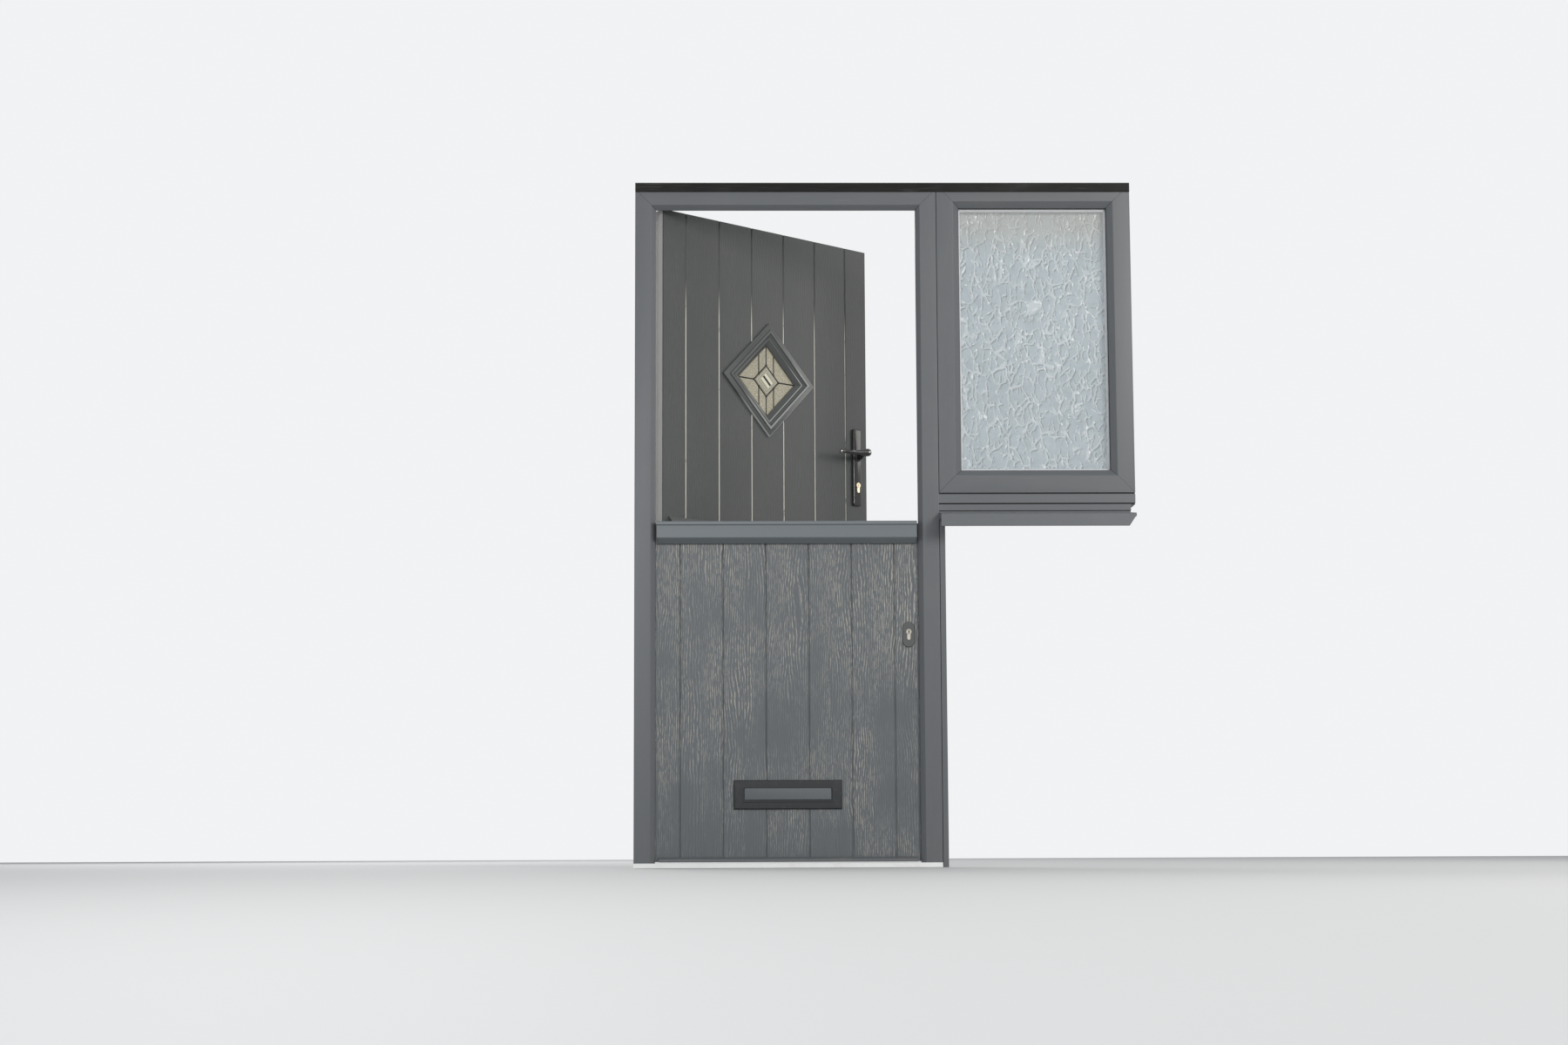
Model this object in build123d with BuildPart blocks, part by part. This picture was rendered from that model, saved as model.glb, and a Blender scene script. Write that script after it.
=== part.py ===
from build123d import *
import os
from math import sqrt

# A stable door in its frame, with the fixed side light that is bolted to the frame.
# Millimetres. X runs to the right as seen from outside, Y runs into the house, Z runs up.
# The origin is on the underside of the threshold, midway across the door frame and midway
# through its depth. The bottom leaf is drawn closed, and the top leaf stands open inwards.

os.makedirs("parts", exist_ok=True)

# Door frame
frame_half = 460.0
frame_front = -35.0
frame_back = 35.0
frame_depth = frame_back - frame_front
frame_top = 2069.0
face_width = 49.0
stop_width = 63.0
rebate_width = 45.0
chamfer_back = -23.0
stop_back = -18.0
stop_half = frame_half - stop_width
rebate_half = frame_half - rebate_width
stop_top = frame_top - stop_width
rebate_top = frame_top - rebate_width
seal_groove_width = 3.0
seal_groove_depth = 3.5
seal_line = 54.0
fixing_radius = 5.0
fixing_y = 8.0
fixing_heights = (350.0, 1750.0)

# Threshold, head pieces and the strip beside the frame
threshold_height = 14.0
threshold_front = -40.0
threshold_lip = 3.5
threshold_floor = 8.0
head_packer_top = 2083.0
overall_top = 2088.0
trim_front = -39.0
trim_bottom = 2060.0
strip_width = 18.0

# Leaves
leaf_half = 411.0
skin_front = -14.0
skin_back = 34.0
skin = 4.0
core_front = skin_front + skin
core_back = skin_back - skin
leaf_middle = (skin_front + skin_back) / 2
rail_width = 45.0
core_half = leaf_half - rail_width
bottom_leaf_low = 18.0
bottom_leaf_high = 1036.0
top_leaf_low = 1042.0
top_leaf_high = 2017.0
board_pitch = 129.3
board_joints = 6
groove_width = 7.0
groove_depth = 2.8

# Hinges
hinge_x = -413.0
hinge_y = 44.0
knuckle_radius = 7.5
pin_radius = 4.0
pin_clearance = 0.05
hinge_half_height = 50.0
wing_thickness = 3.0
web_thickness = 5.0
knuckle_gap = 0.2
jamb_wing_x = (-455.0, -423.0)
jamb_web_x = (-424.0, hinge_x)
leaf_wing_x = (-402.0, -365.0)
leaf_web_x = (-410.0, -400.0)
bottom_hinge_heights = (170.0, 890.0)
top_hinge_heights = (1190.0, 1870.0)
top_leaf_angle = 38.35

# Locks and handles
lock_x = leaf_half - 45.0
spindle_height = 1325.0
top_key_height = 1233.0
bottom_key_height = 705.0
case_left = 341.0
case_front = 2.0
case_back = 18.0
case_wall = 1.5
forend_thickness = 2.5
forend_half_width = 10.0
bolt_half_thickness = 6.0
bolt_clearance = 0.3
latch_half_height = 8.0
latch_throw = 11.0
latch_left = 385.0
deadbolt_half_height = 15.0
deadbolt_left = 352.0
deadbolt_right = leaf_half - 0.6
top_deadbolt_height = 1270.0
bottom_deadbolt_height = 750.0
keep_thickness = 1.8
keep_width = 28.0
keep_corner = 5.0
keep_room = 2.0
top_keep_z = (1235.0, 1355.0)
bottom_keep_z = (705.0, 795.0)
section_reach = 15.0
pocket_depth = 18.0
top_case = (1190.0, 1372.0)
top_forend = (1100.0, 1960.0)
bottom_case = (640.0, 790.0)
bottom_forend = (420.0, 960.0)

# Height and half height of each bolt
top_windows = (
    (spindle_height, latch_half_height),
    (top_deadbolt_height, deadbolt_half_height),
)
bottom_windows = ((bottom_deadbolt_height, deadbolt_half_height),)

# Key cylinder section, plug and cam
key_circle = 8.5
key_body_width = 10.0
key_body_drop = 24.5
plug_radius = 6.45
plug_bore = 6.5
cam_radius = 8.2
cam_half_thickness = 4.0
cam_reach = 12.0
cam_tooth_width = 4.5
cam_room = 1.0
turn_length = 26.0
turn_width = 9.0
turn_reach = 22.0

# Handle plates, levers and escutcheons
plate_thickness = 10.0
plate_width = 33.0
plate_low = 1166.0
plate_high = 1418.0
plate_corner = 3.5
plate_bevel = 2.0
spigot_radius = 8.0
spigot_clearance = 0.05
spindle_side = 8.0
lever_gap = 0.4
neck_base_radius = 11.5
neck_radius = 9.5
neck_length = 34.0
neck_rise = 8.0
rose_thickness = 6.0
rose_height = 697.0
rose_half_width = 18.0
rose_half_height = 38.0
rose_bevel = 1.5

# Diamond light in the top leaf
light_height = 1534.0
light_half_diagonal = 183.0
light_hole_half_side = 104.0
pane_half_side = 100.0
pane_thickness = 4.0
light_face_width = 49.5
light_slope_end = -6.0
lead_width = 4.5
lead_thickness = 1.2
lead_diamond = 50.0
lead_upright_x = 30.0
tile_half_diagonal = 45.5
tile_edge = 1.0
tile_rise = 4.0
tile_bevel = 15.0

# Letter plate in the bottom leaf
letter_half_width = 162.0
letter_low = 173.5
letter_high = 260.5
letter_flap_half = 130.5
letter_flap_low = 201.2
letter_pivot_height = 238.0
letter_pivot_y = -18.0
sleeve_half_width = 136.0
sleeve_low = 196.0
sleeve_high = 244.0
sleeve_wall = 2.0
slot_gap = 2.5
letter_thickness = 8.0
letter_barrel = 1.8
flap_half_thickness = 1.25
aperture_room = 0.7
aperture_top = 240.5
stub_radius = 1.2
stub_clearance = 0.05
stub_length = 4.0
inner_sleeve_gap = 0.2
inner_pivot_height = 252.0
inner_flap_low = 187.0
lug_x = (146.0, 151.0)
lug_half = 3.0

# Barrel bolt that ties the leaves to each other
barrel_x = 330.0
barrel_plate = 3.0
barrel_plate_half = 15.0
barrel_plate_z = (896.0, 1026.0)
barrel_staples = ((960.0, 975.0), (1008.0, 1023.0))
staple_half = 9.0
staple_reach = 8.0
rod_y = 44.5
rod_radius = 5.0
rod_clearance = 0.05
rod_low = 905.0
rod_high = 1034.0
rod_point = 1.5
knob_height = 930.0
knob_reach = 27.0
knob_length = 6.0
knob_neck_radius = 4.0
knob_radius = 6.5
bolt_keep_half = 13.0
bolt_keep_z = (1047.0, 1065.0)
bolt_keep_room = 0.3

# Weather bar on the bottom leaf, weather rail on the top leaf and drip bar at the foot
bar_half = 392.0
bar_top = 1039.5
bar_lip_low = 1028.0
bar_face_low = 988.0
bar_low = 973.5
bar_cap = 2.5
bar_front = -45.0
bar_lip = -49.0
rail_half = 390.0
rail_front = -30.0
rail_top = 1063.0
drip_half = 386.0
drip_low = 17.0
drip_top = 32.0
drip_front = -32.0

# Side light beside the door frame
light_left = frame_half
light_right = 1056.0
window_low = 1126.5
window_top = head_packer_top
window_face = 52.0
window_sight = 70.0
window_rebate = 52.0
joint_width = 2.0
joint_depth = 10.0
window_chamfer_back = -22.0
window_stop_back = -16.0
unit_front = -12.0
unit_pane = 4.0
unit_back = 16.0
unit_room = 4.0
bead_width = 17.0
bead_slope = 9.0
spacer_set_in = 6.0
spacer_bar = 14.0
seal_overlap = 8.0
seal_set_back = 1.0
window_fixing_y = 2.0
window_fixing_heights = (1300.0, 1900.0)

# Cill
cill_low = 1045.0
cill_upstand_top = 1090.5
cill_right = 1042.0
cill_nose_front = -120.0
cill_nose_low = 1013.0
cill_nose_top = 1052.0
cill_nose_thickness = 9.0
cill_shoulder = 1066.0
cill_under_nose = 1036.0
cill_crop_high = 1041.0
cill_crop_length = 19.0
cill_cap_thickness = 2.5
strip_groove = 4.0
strip_groove_depth = 8.0


def span(pair):
    """Length of a (low, high) pair."""
    return pair[1] - pair[0]


def middle(pair):
    """Middle of a (low, high) pair."""
    return (pair[0] + pair[1]) / 2


def block(x, y, z, mode=Mode.ADD):
    """A square-edged block between (low, high) pairs, in the part that is being built."""
    with Locations((middle(x), middle(y), middle(z))):
        Box(span(x), span(y), span(z), mode=mode)


def upright_rectangle(x, z):
    """A rectangle between (low, high) pairs, in a sketch on an upright plane that faces outside."""
    with Locations((middle(x), middle(z))):
        Rectangle(span(x), span(z))


def diamond(half_diagonal, height):
    """A square on its corner, in an upright sketch."""
    with Locations((0, height)):
        Rectangle(half_diagonal * sqrt(2), half_diagonal * sqrt(2), rotation=45)


def facade(y):
    """The upright plane at depth y, whose sketches are seen from outside and extrude outwards."""
    return Plane.XZ.offset(-y)


def key_outline(height, grow=0.0):
    """The keyhole-shaped section of a key cylinder: a circle with a round-ended drop below it."""
    with Locations((lock_x, height)):
        Circle(key_circle + grow)
    drop = key_body_drop + grow
    half = key_body_width / 2 + grow
    with Locations((lock_x, height - (drop - half) / 2)):
        Rectangle(2 * half, drop - half)
    with Locations((lock_x, height - drop + half)):
        Circle(half)


# Door frame: the whole outline first, with the stop in front of the leaves
with BuildPart() as whole_frame:
    with BuildSketch(facade(frame_back)):
        upright_rectangle((-frame_half, frame_half), (threshold_height, frame_top))
    extrude(amount=frame_depth)
    with BuildSketch(facade(frame_back)):
        upright_rectangle((-rebate_half, rebate_half), (0, rebate_top))
    extrude(amount=frame_back - stop_back, mode=Mode.SUBTRACT)
    with BuildSketch(facade(stop_back)):
        upright_rectangle((-stop_half, stop_half), (0, stop_top))
    extrude(amount=stop_back - frame_front, mode=Mode.SUBTRACT)
    face_half = frame_half - face_width
    with BuildSketch(facade(frame_front)):
        upright_rectangle((-face_half, face_half), (0, frame_top - face_width))
    with BuildSketch(facade(chamfer_back)):
        upright_rectangle((-stop_half, stop_half), (0, stop_top))
    loft(mode=Mode.SUBTRACT)
    groove_half = frame_half - seal_line + seal_groove_width / 2
    with BuildSketch(facade(stop_back)):
        upright_rectangle((-groove_half, groove_half), (0, frame_top - frame_half + groove_half))
        inner_half = groove_half - seal_groove_width
        with Locations((0, (frame_top - frame_half + inner_half) / 2)):
            Rectangle(2 * inner_half, frame_top - frame_half + inner_half, mode=Mode.SUBTRACT)
    extrude(amount=seal_groove_depth, mode=Mode.SUBTRACT)
    bolt_room = bolt_half_thickness + keep_room
    bolt_y = (leaf_middle - bolt_room, leaf_middle + bolt_room)
    pocket_x = (rebate_half, rebate_half + pocket_depth)
    for height, half_height in top_windows + bottom_windows:
        window_half = half_height + keep_room
        block(pocket_x, bolt_y, (height - window_half, height + window_half), Mode.SUBTRACT)
    with BuildSketch(Plane.YZ.offset(-frame_half)):
        with Locations(*[(fixing_y, height) for height in fixing_heights]):
            Circle(fixing_radius)
    extrude(amount=rebate_width, mode=Mode.SUBTRACT)


def frame_member(outline):
    """The part of the door frame inside an outline of (x, z) corners."""
    with BuildPart() as piece:
        with BuildSketch(facade(frame_back + 1)):
            with BuildLine():
                Polyline(*outline, close=True)
            make_face()
        extrude(amount=frame_depth + 2)
        add(whole_frame.part, mode=Mode.INTERSECT)
    return piece


# The two jambs and the head are mitred and meet at the corners
mitre_out = (frame_half + 1, frame_top + 1)
mitre_in = (stop_half - 7, stop_top - 7)
hinge_jamb = frame_member((
    (-mitre_out[0], 0), (-mitre_out[0], mitre_out[1]), (-mitre_in[0], mitre_in[1]), (-mitre_in[0], 0),
))
whole_lock_jamb = frame_member((
    (mitre_out[0], 0), mitre_out, mitre_in, (mitre_in[0], 0),
))
frame_head = frame_member((
    (-mitre_out[0], mitre_out[1]), mitre_out, mitre_in, (-mitre_in[0], mitre_in[1]),
))

# The stretches of the lock jamb behind the two keeps, which hold the pockets for the bolts
with BuildPart() as lock_sections:
    for low, high in (top_keep_z, bottom_keep_z):
        block((mitre_in[0], mitre_out[0]), (frame_front - 1, frame_back + 1),
              (low - section_reach, high + section_reach))
    add(whole_lock_jamb.part, mode=Mode.INTERSECT)

# The rest of the lock jamb, which meets those stretches end to end
with BuildPart() as lock_jamb:
    add(whole_lock_jamb.part)
    for low, high in (top_keep_z, bottom_keep_z):
        block((mitre_in[0], mitre_out[0]), (frame_front - 1, frame_back + 1),
              (low - section_reach, high + section_reach), Mode.SUBTRACT)

# Threshold: a low white bar with a stepped front edge, a flat for the jambs and a fall inwards
with BuildPart() as threshold:
    with BuildSketch(Plane.YZ.offset(-frame_half)):
        with BuildLine():
            Polyline(
                (threshold_front, 0),
                (threshold_front, threshold_lip),
                (threshold_front + 2, threshold_lip + 1),
                (threshold_front + 2, threshold_height - 2),
                (threshold_front + 4, threshold_height),
                (stop_back, threshold_height),
                (stop_back + 3, threshold_floor),
                (frame_back - 6, threshold_floor),
                (frame_back, threshold_floor - 2),
                (frame_back, 0),
                close=True,
            )
        make_face()
    extrude(amount=2 * frame_half)
    for side in (-1, 1):
        foot = sorted((side * rebate_half, side * frame_half))
        block(foot, (stop_back, frame_back), (threshold_floor - 2, threshold_height))

# Cover angle along the heads of the door frame and the side light
with BuildPart() as head_trim:
    with BuildSketch(Plane.YZ.offset(-frame_half)):
        with BuildLine():
            Polyline(
                (trim_front, trim_bottom + 1),
                (trim_front, overall_top - 1),
                (trim_front + 1, overall_top),
                (frame_back, overall_top),
                (frame_back, head_packer_top),
                (frame_front, head_packer_top),
                (frame_front, trim_bottom),
                (trim_front + 1, trim_bottom),
                close=True,
            )
        make_face()
    extrude(amount=frame_half + light_right)

# Packing strips on the head of the door frame, and down its right side below the side light
with BuildPart() as packing_strips:
    block((-frame_half, frame_half), (frame_front, frame_back), (frame_top, head_packer_top))
    strip_x = (frame_half, frame_half + strip_width)
    block(strip_x, (frame_front, frame_back), (0, cill_low))
    block((frame_half, frame_half + joint_width), (frame_front, frame_front + joint_depth),
          (0, cill_low), Mode.SUBTRACT)

# Rubber seal against the stop: a soft lip on a stem that is pushed into the groove
with BuildPart() as frame_seal:
    lip_half_width = 6.0
    lip_thickness = 3.7
    outer = frame_half - seal_line + lip_half_width
    inner = frame_half - seal_line - lip_half_width
    seal_head = frame_top - frame_half
    with BuildSketch(facade(stop_back + lip_thickness)):
        upright_rectangle((-outer, outer), (threshold_height, seal_head + outer))
        with Locations((0, (seal_head + inner) / 2)):
            Rectangle(2 * inner, seal_head + inner, mode=Mode.SUBTRACT)
    extrude(amount=lip_thickness)
    stem_half = seal_groove_width / 2
    stem_outer = frame_half - seal_line + stem_half
    stem_inner = frame_half - seal_line - stem_half
    with BuildSketch(facade(stop_back)):
        upright_rectangle((-stem_outer, stem_outer), (threshold_height, seal_head + stem_outer))
        with Locations((0, (seal_head + stem_inner) / 2)):
            Rectangle(2 * stem_inner, seal_head + stem_inner, mode=Mode.SUBTRACT)
    extrude(amount=seal_groove_depth)
    lip_edges = frame_seal.edges().group_by(Axis.Y)[-1]
    chamfer(lip_edges, length=1.2)

# Steel strip keeps on the jamb for the two locks, with a window for each bolt
with BuildPart() as lock_keeps:
    with BuildSketch(Plane.YZ.offset(rebate_half - keep_thickness)):
        for z in (top_keep_z, bottom_keep_z):
            with Locations((leaf_middle, middle(z))):
                RectangleRounded(keep_width, span(z), keep_corner)
        for height, half_height in top_windows + bottom_windows:
            with Locations((leaf_middle, height)):
                Rectangle(2 * (bolt_half_thickness + keep_room), 2 * (half_height + keep_room),
                          mode=Mode.SUBTRACT)
    extrude(amount=keep_thickness)

# Flag hinges: one wing on the jamb with the lower knuckle, one on the leaf with the upper knuckle
with BuildPart() as jamb_hinges:
    for z in bottom_hinge_heights + top_hinge_heights:
        whole = (z - hinge_half_height, z + hinge_half_height)
        lower = (z - hinge_half_height, z - knuckle_gap)
        block(jamb_wing_x, (frame_back, frame_back + wing_thickness), whole)
        block(jamb_web_x, (frame_back, frame_back + web_thickness), lower)
        with Locations((hinge_x, hinge_y, middle(lower))):
            Cylinder(knuckle_radius, span(lower))
            Cylinder(pin_radius, span(lower), mode=Mode.SUBTRACT)


def leaf_wings(heights):
    """The leaf halves of a leaf's hinges."""
    with BuildPart() as piece:
        for z in heights:
            whole = (z - hinge_half_height, z + hinge_half_height)
            upper = (z + knuckle_gap, z + hinge_half_height)
            block(leaf_wing_x, (skin_back, skin_back + wing_thickness), whole)
            block(leaf_web_x, (skin_back, skin_back + web_thickness), upper)
            with Locations((hinge_x, hinge_y, middle(upper))):
                Cylinder(knuckle_radius, span(upper))
                Cylinder(pin_radius + pin_clearance, span(upper), mode=Mode.SUBTRACT)
    return piece


bottom_leaf_hinges = leaf_wings(bottom_hinge_heights)
top_leaf_hinges = leaf_wings(top_hinge_heights)

with BuildPart() as hinge_pins:
    for z in bottom_hinge_heights + top_hinge_heights:
        with Locations((hinge_x, hinge_y, z)):
            Cylinder(pin_radius, 2 * hinge_half_height)

# Side light: a welded frame with a sloped inner edge, glazed from inside
with BuildPart() as window_frame:
    with BuildSketch(facade(frame_back)):
        upright_rectangle((light_left, light_right), (window_low, window_top))
    extrude(amount=frame_depth)
    with BuildSketch(facade(frame_back)):
        upright_rectangle((light_left + window_rebate, light_right - window_rebate),
                          (window_low + window_rebate, window_top - window_rebate))
    extrude(amount=frame_back - window_stop_back, mode=Mode.SUBTRACT)
    sight_x = (light_left + window_sight, light_right - window_sight)
    sight_z = (window_low + window_sight, window_top - window_sight)
    with BuildSketch(facade(window_stop_back)):
        upright_rectangle(sight_x, sight_z)
    extrude(amount=window_stop_back - frame_front, mode=Mode.SUBTRACT)
    with BuildSketch(facade(frame_front)):
        upright_rectangle((light_left + window_face, light_right - window_face),
                          (window_low + window_face, window_top - window_face))
    with BuildSketch(facade(window_chamfer_back)):
        upright_rectangle(sight_x, sight_z)
    loft(mode=Mode.SUBTRACT)
    block((light_left, light_left + joint_width), (frame_front, frame_front + joint_depth),
          (window_low, window_top), Mode.SUBTRACT)
    with BuildSketch(Plane.YZ.offset(light_right - window_rebate)):
        with Locations(*[(window_fixing_y, height) for height in window_fixing_heights]):
            Circle(fixing_radius)
    extrude(amount=window_rebate, mode=Mode.SUBTRACT)

pane_edge = window_rebate + unit_room
pane_x = (light_left + pane_edge, light_right - pane_edge)
pane_z = (window_low + pane_edge, window_top - pane_edge)

# Two panes with an aluminium spacer bar between them, held off the frame by a rubber seal
with BuildPart() as window_panes:
    block(pane_x, (unit_front, unit_front + unit_pane), pane_z)
    block(pane_x, (unit_back - unit_pane, unit_back), pane_z)

with BuildPart() as window_spacer:
    between = (unit_front + unit_pane, unit_back - unit_pane)
    edge = spacer_set_in
    block((pane_x[0] + edge, pane_x[1] - edge), between, (pane_z[0] + edge, pane_z[1] - edge))
    inner_edge = edge + spacer_bar
    block((pane_x[0] + inner_edge, pane_x[1] - inner_edge), between,
          (pane_z[0] + inner_edge, pane_z[1] - inner_edge), Mode.SUBTRACT)

with BuildPart() as window_seal:
    seal_gap = (window_stop_back, unit_front)
    edge = seal_overlap
    block((sight_x[0] - edge, sight_x[1] + edge), seal_gap, (sight_z[0] - edge, sight_z[1] + edge))
    inner_edge = seal_set_back
    block((sight_x[0] - inner_edge, sight_x[1] + inner_edge), seal_gap,
          (sight_z[0] - inner_edge, sight_z[1] + inner_edge), Mode.SUBTRACT)

# Inside beads that hold the sealed unit, cut with mitred corners
with BuildPart() as window_beads:
    rebate_x = (light_left + window_rebate, light_right - window_rebate)
    rebate_z = (window_low + window_rebate, window_top - window_rebate)
    with BuildSketch(facade(frame_back)):
        upright_rectangle(rebate_x, rebate_z)
        with Locations((middle(rebate_x), middle(rebate_z))):
            Rectangle(span(rebate_x) - 2 * bead_width, span(rebate_z) - 2 * bead_width,
                      mode=Mode.SUBTRACT)
    extrude(amount=frame_back - unit_back)
    bead_edges = window_beads.edges().filter_by(GeomType.LINE).group_by(Axis.Y)[-1]
    inside_edges = bead_edges.filter_by(
        lambda e: rebate_x[0] + 1 < e.center().X < rebate_x[1] - 1
        and rebate_z[0] + 1 < e.center().Z < rebate_z[1] - 1
    )
    chamfer(inside_edges, length=bead_slope)

# Strip under the side light with a shadow groove above and below its face
with BuildPart() as window_strip:
    groove_y = frame_front + strip_groove_depth
    block((light_left, light_right), (groove_y, frame_back), (cill_upstand_top, window_low))
    block((light_left, light_right), (frame_front, groove_y),
          (cill_upstand_top + strip_groove, window_low - strip_groove - 1))

# Cill: upstand, fall to the nose, and a turned-down nose with a cropped corner at the free end
with BuildPart() as window_cill:
    with BuildSketch(Plane.YZ.offset(light_left)):
        with BuildLine():
            Polyline(
                (frame_back, cill_upstand_top),
                (frame_front, cill_upstand_top),
                (frame_front, cill_shoulder + 6),
                (frame_front + 5, cill_shoulder + 4),
                (frame_front + 5, cill_shoulder),
                (cill_nose_front + 3, cill_nose_top),
                (cill_nose_front, cill_nose_top - 3),
                (cill_nose_front, cill_nose_low),
                (cill_nose_front + cill_nose_thickness, cill_nose_low),
                (cill_nose_front + cill_nose_thickness, cill_under_nose),
                (frame_front - 2, cill_low),
                (frame_back, cill_low),
                close=True,
            )
        make_face()
    extrude(amount=cill_right - light_left)
    with BuildSketch(facade(frame_back)):
        with BuildLine():
            Polyline(
                (cill_right, cill_crop_high),
                (cill_right, cill_nose_low - 1),
                (cill_right - cill_crop_length, cill_nose_low - 1),
                close=True,
            )
        make_face()
    extrude(amount=frame_back - cill_nose_front + 1, mode=Mode.SUBTRACT)

with BuildPart() as cill_cap:
    with BuildSketch(Plane.YZ.offset(cill_right)):
        with BuildLine():
            Polyline(
                (frame_front, cill_shoulder - 1),
                (cill_nose_front + 3, cill_nose_top),
                (cill_nose_front, cill_nose_top - 3),
                (cill_nose_front, cill_crop_high),
                (frame_front - 2, cill_low),
                (frame_front, cill_low),
                close=True,
            )
        make_face()
    extrude(amount=cill_cap_thickness)


# Spaces that are cut out of the leaves before they are made: locks, diamond light and letter slot
def lock_space(case, forend, key_height, handle_height=None):
    """The room that a lock case, its forend, the key cylinder and the handle's spigot take."""
    with BuildPart() as space:
        block((case_left, leaf_half + 1), (case_front, case_back), case)
        block((leaf_half - forend_thickness, leaf_half + 1),
              (leaf_middle - forend_half_width, leaf_middle + forend_half_width), forend)
        with BuildSketch(facade(skin_back + 1)):
            key_outline(key_height, grow=0.5)
            if handle_height is not None:
                with Locations((lock_x, handle_height)):
                    Circle(9.0)
        extrude(amount=skin_back - skin_front + 2)
    return space


top_lock_space = lock_space(top_case, top_forend, top_key_height, spindle_height)
bottom_lock_space = lock_space(bottom_case, bottom_forend, bottom_key_height)

with BuildPart() as light_space:
    with BuildSketch(facade(skin_back + 1)):
        diamond(light_hole_half_side * sqrt(2), light_height)
    extrude(amount=skin_back - skin_front + 2)

with BuildPart() as letter_space:
    block((-sleeve_half_width - slot_gap, sleeve_half_width + slot_gap),
          (skin_front - 1, skin_back + 1), (sleeve_low - slot_gap, sleeve_high + slot_gap))


# Leaves: grooved skins over a stile-and-rail edge frame and a foam core
def plank_skin(low, high, outside, spaces):
    """A moulded skin over the leaf's width, with a V joint between the boards."""
    back, face, sign = (core_front, skin_front, 1) if outside else (skin_back, skin_back, -1)
    with BuildPart() as piece:
        with BuildSketch(facade(back)):
            upright_rectangle((-leaf_half, leaf_half), (low, high))
        extrude(amount=skin)
        with BuildSketch(Plane.XY.offset(low)):
            with Locations((0, face)):
                with GridLocations(board_pitch, 1, board_joints, 1):
                    half = groove_width / 2
                    Polygon((-half, 0), (half, 0), (0, sign * groove_depth), align=None)
        extrude(amount=high - low, mode=Mode.SUBTRACT)
        for space in spaces:
            add(space.part, mode=Mode.SUBTRACT)
    return piece


def edge_frame(low, high, spaces):
    """Stiles and rails between the skins."""
    with BuildPart() as piece:
        block((-leaf_half, leaf_half), (core_front, core_back), (low, high))
        block((-core_half, core_half), (core_front, core_back), (low + rail_width, high - rail_width),
              Mode.SUBTRACT)
        for space in spaces:
            add(space.part, mode=Mode.SUBTRACT)
    return piece


def foam(low, high, spaces):
    """The foam that fills the edge frame."""
    with BuildPart() as piece:
        block((-core_half, core_half), (core_front, core_back), (low + rail_width, high - rail_width))
        for space in spaces:
            add(space.part, mode=Mode.SUBTRACT)
    return piece


top_spaces = (top_lock_space, light_space)
top_outer_skin = plank_skin(top_leaf_low, top_leaf_high, True, top_spaces)
top_inner_skin = plank_skin(top_leaf_low, top_leaf_high, False, top_spaces)
top_edge_frame = edge_frame(top_leaf_low, top_leaf_high, (top_lock_space,))
top_foam_core = foam(top_leaf_low, top_leaf_high, top_spaces)

bottom_spaces = (bottom_lock_space, letter_space)
bottom_outer_skin = plank_skin(bottom_leaf_low, bottom_leaf_high, True, bottom_spaces)
bottom_inner_skin = plank_skin(bottom_leaf_low, bottom_leaf_high, False, bottom_spaces)
bottom_edge_frame = edge_frame(bottom_leaf_low, bottom_leaf_high, (bottom_lock_space,))
bottom_foam_core = foam(bottom_leaf_low, bottom_leaf_high, bottom_spaces)

# Weather bar over the meeting edge of the bottom leaf, its end caps, and the rail above it
bar_face = (
    (skin_front, bar_low + 3),
    (skin_front - 7, bar_low),
    (bar_front + 2, bar_face_low),
    (bar_front, bar_face_low + 2),
    (bar_front, bar_lip_low - 1),
    (bar_lip, bar_lip_low + 1),
    (bar_lip, bar_top - 2),
    (bar_lip + 2, bar_top),
)
bar_cover = ((skin_back, bar_top), (skin_back, bottom_leaf_high), (skin_front, bottom_leaf_high))

with BuildPart() as weather_bar:
    with BuildSketch(Plane.YZ.offset(-bar_half + bar_cap)):
        with BuildLine():
            Polyline(*bar_face, *bar_cover, close=True)
        make_face()
    extrude(amount=2 * (bar_half - bar_cap))

with BuildPart() as weather_bar_caps:
    for start in (-bar_half, bar_half - bar_cap):
        with BuildSketch(Plane.YZ.offset(start)):
            with BuildLine():
                Polyline(*bar_face, (skin_front, bar_top), close=True)
            make_face()
        extrude(amount=bar_cap)

with BuildPart() as weather_rail:
    with BuildSketch(Plane.YZ.offset(-rail_half)):
        with BuildLine():
            Polyline(
                (skin_front, top_leaf_low),
                (skin_front, rail_top),
                (skin_front - 3, rail_top),
                (rail_front, top_leaf_low + 8),
                (rail_front, top_leaf_low),
                (rail_front + 3, top_leaf_low),
                (rail_front + 3, top_leaf_low + 4),
                (skin_front - 4, top_leaf_low + 4),
                (skin_front - 4, top_leaf_low),
                close=True,
            )
        make_face()
    extrude(amount=2 * rail_half)

# Drip bar at the foot of the bottom leaf
with BuildPart() as drip_bar:
    with BuildSketch(Plane.YZ.offset(-drip_half)):
        with BuildLine():
            Polyline(
                (skin_front, drip_low + 3),
                (skin_front, drip_top),
                (skin_front - 3, drip_top),
                (drip_front, drip_low + 8),
                (drip_front, drip_low),
                (drip_front + 3, drip_low),
                (drip_front + 4, drip_low + 3),
                close=True,
            )
        make_face()
    extrude(amount=2 * drip_half)


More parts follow.
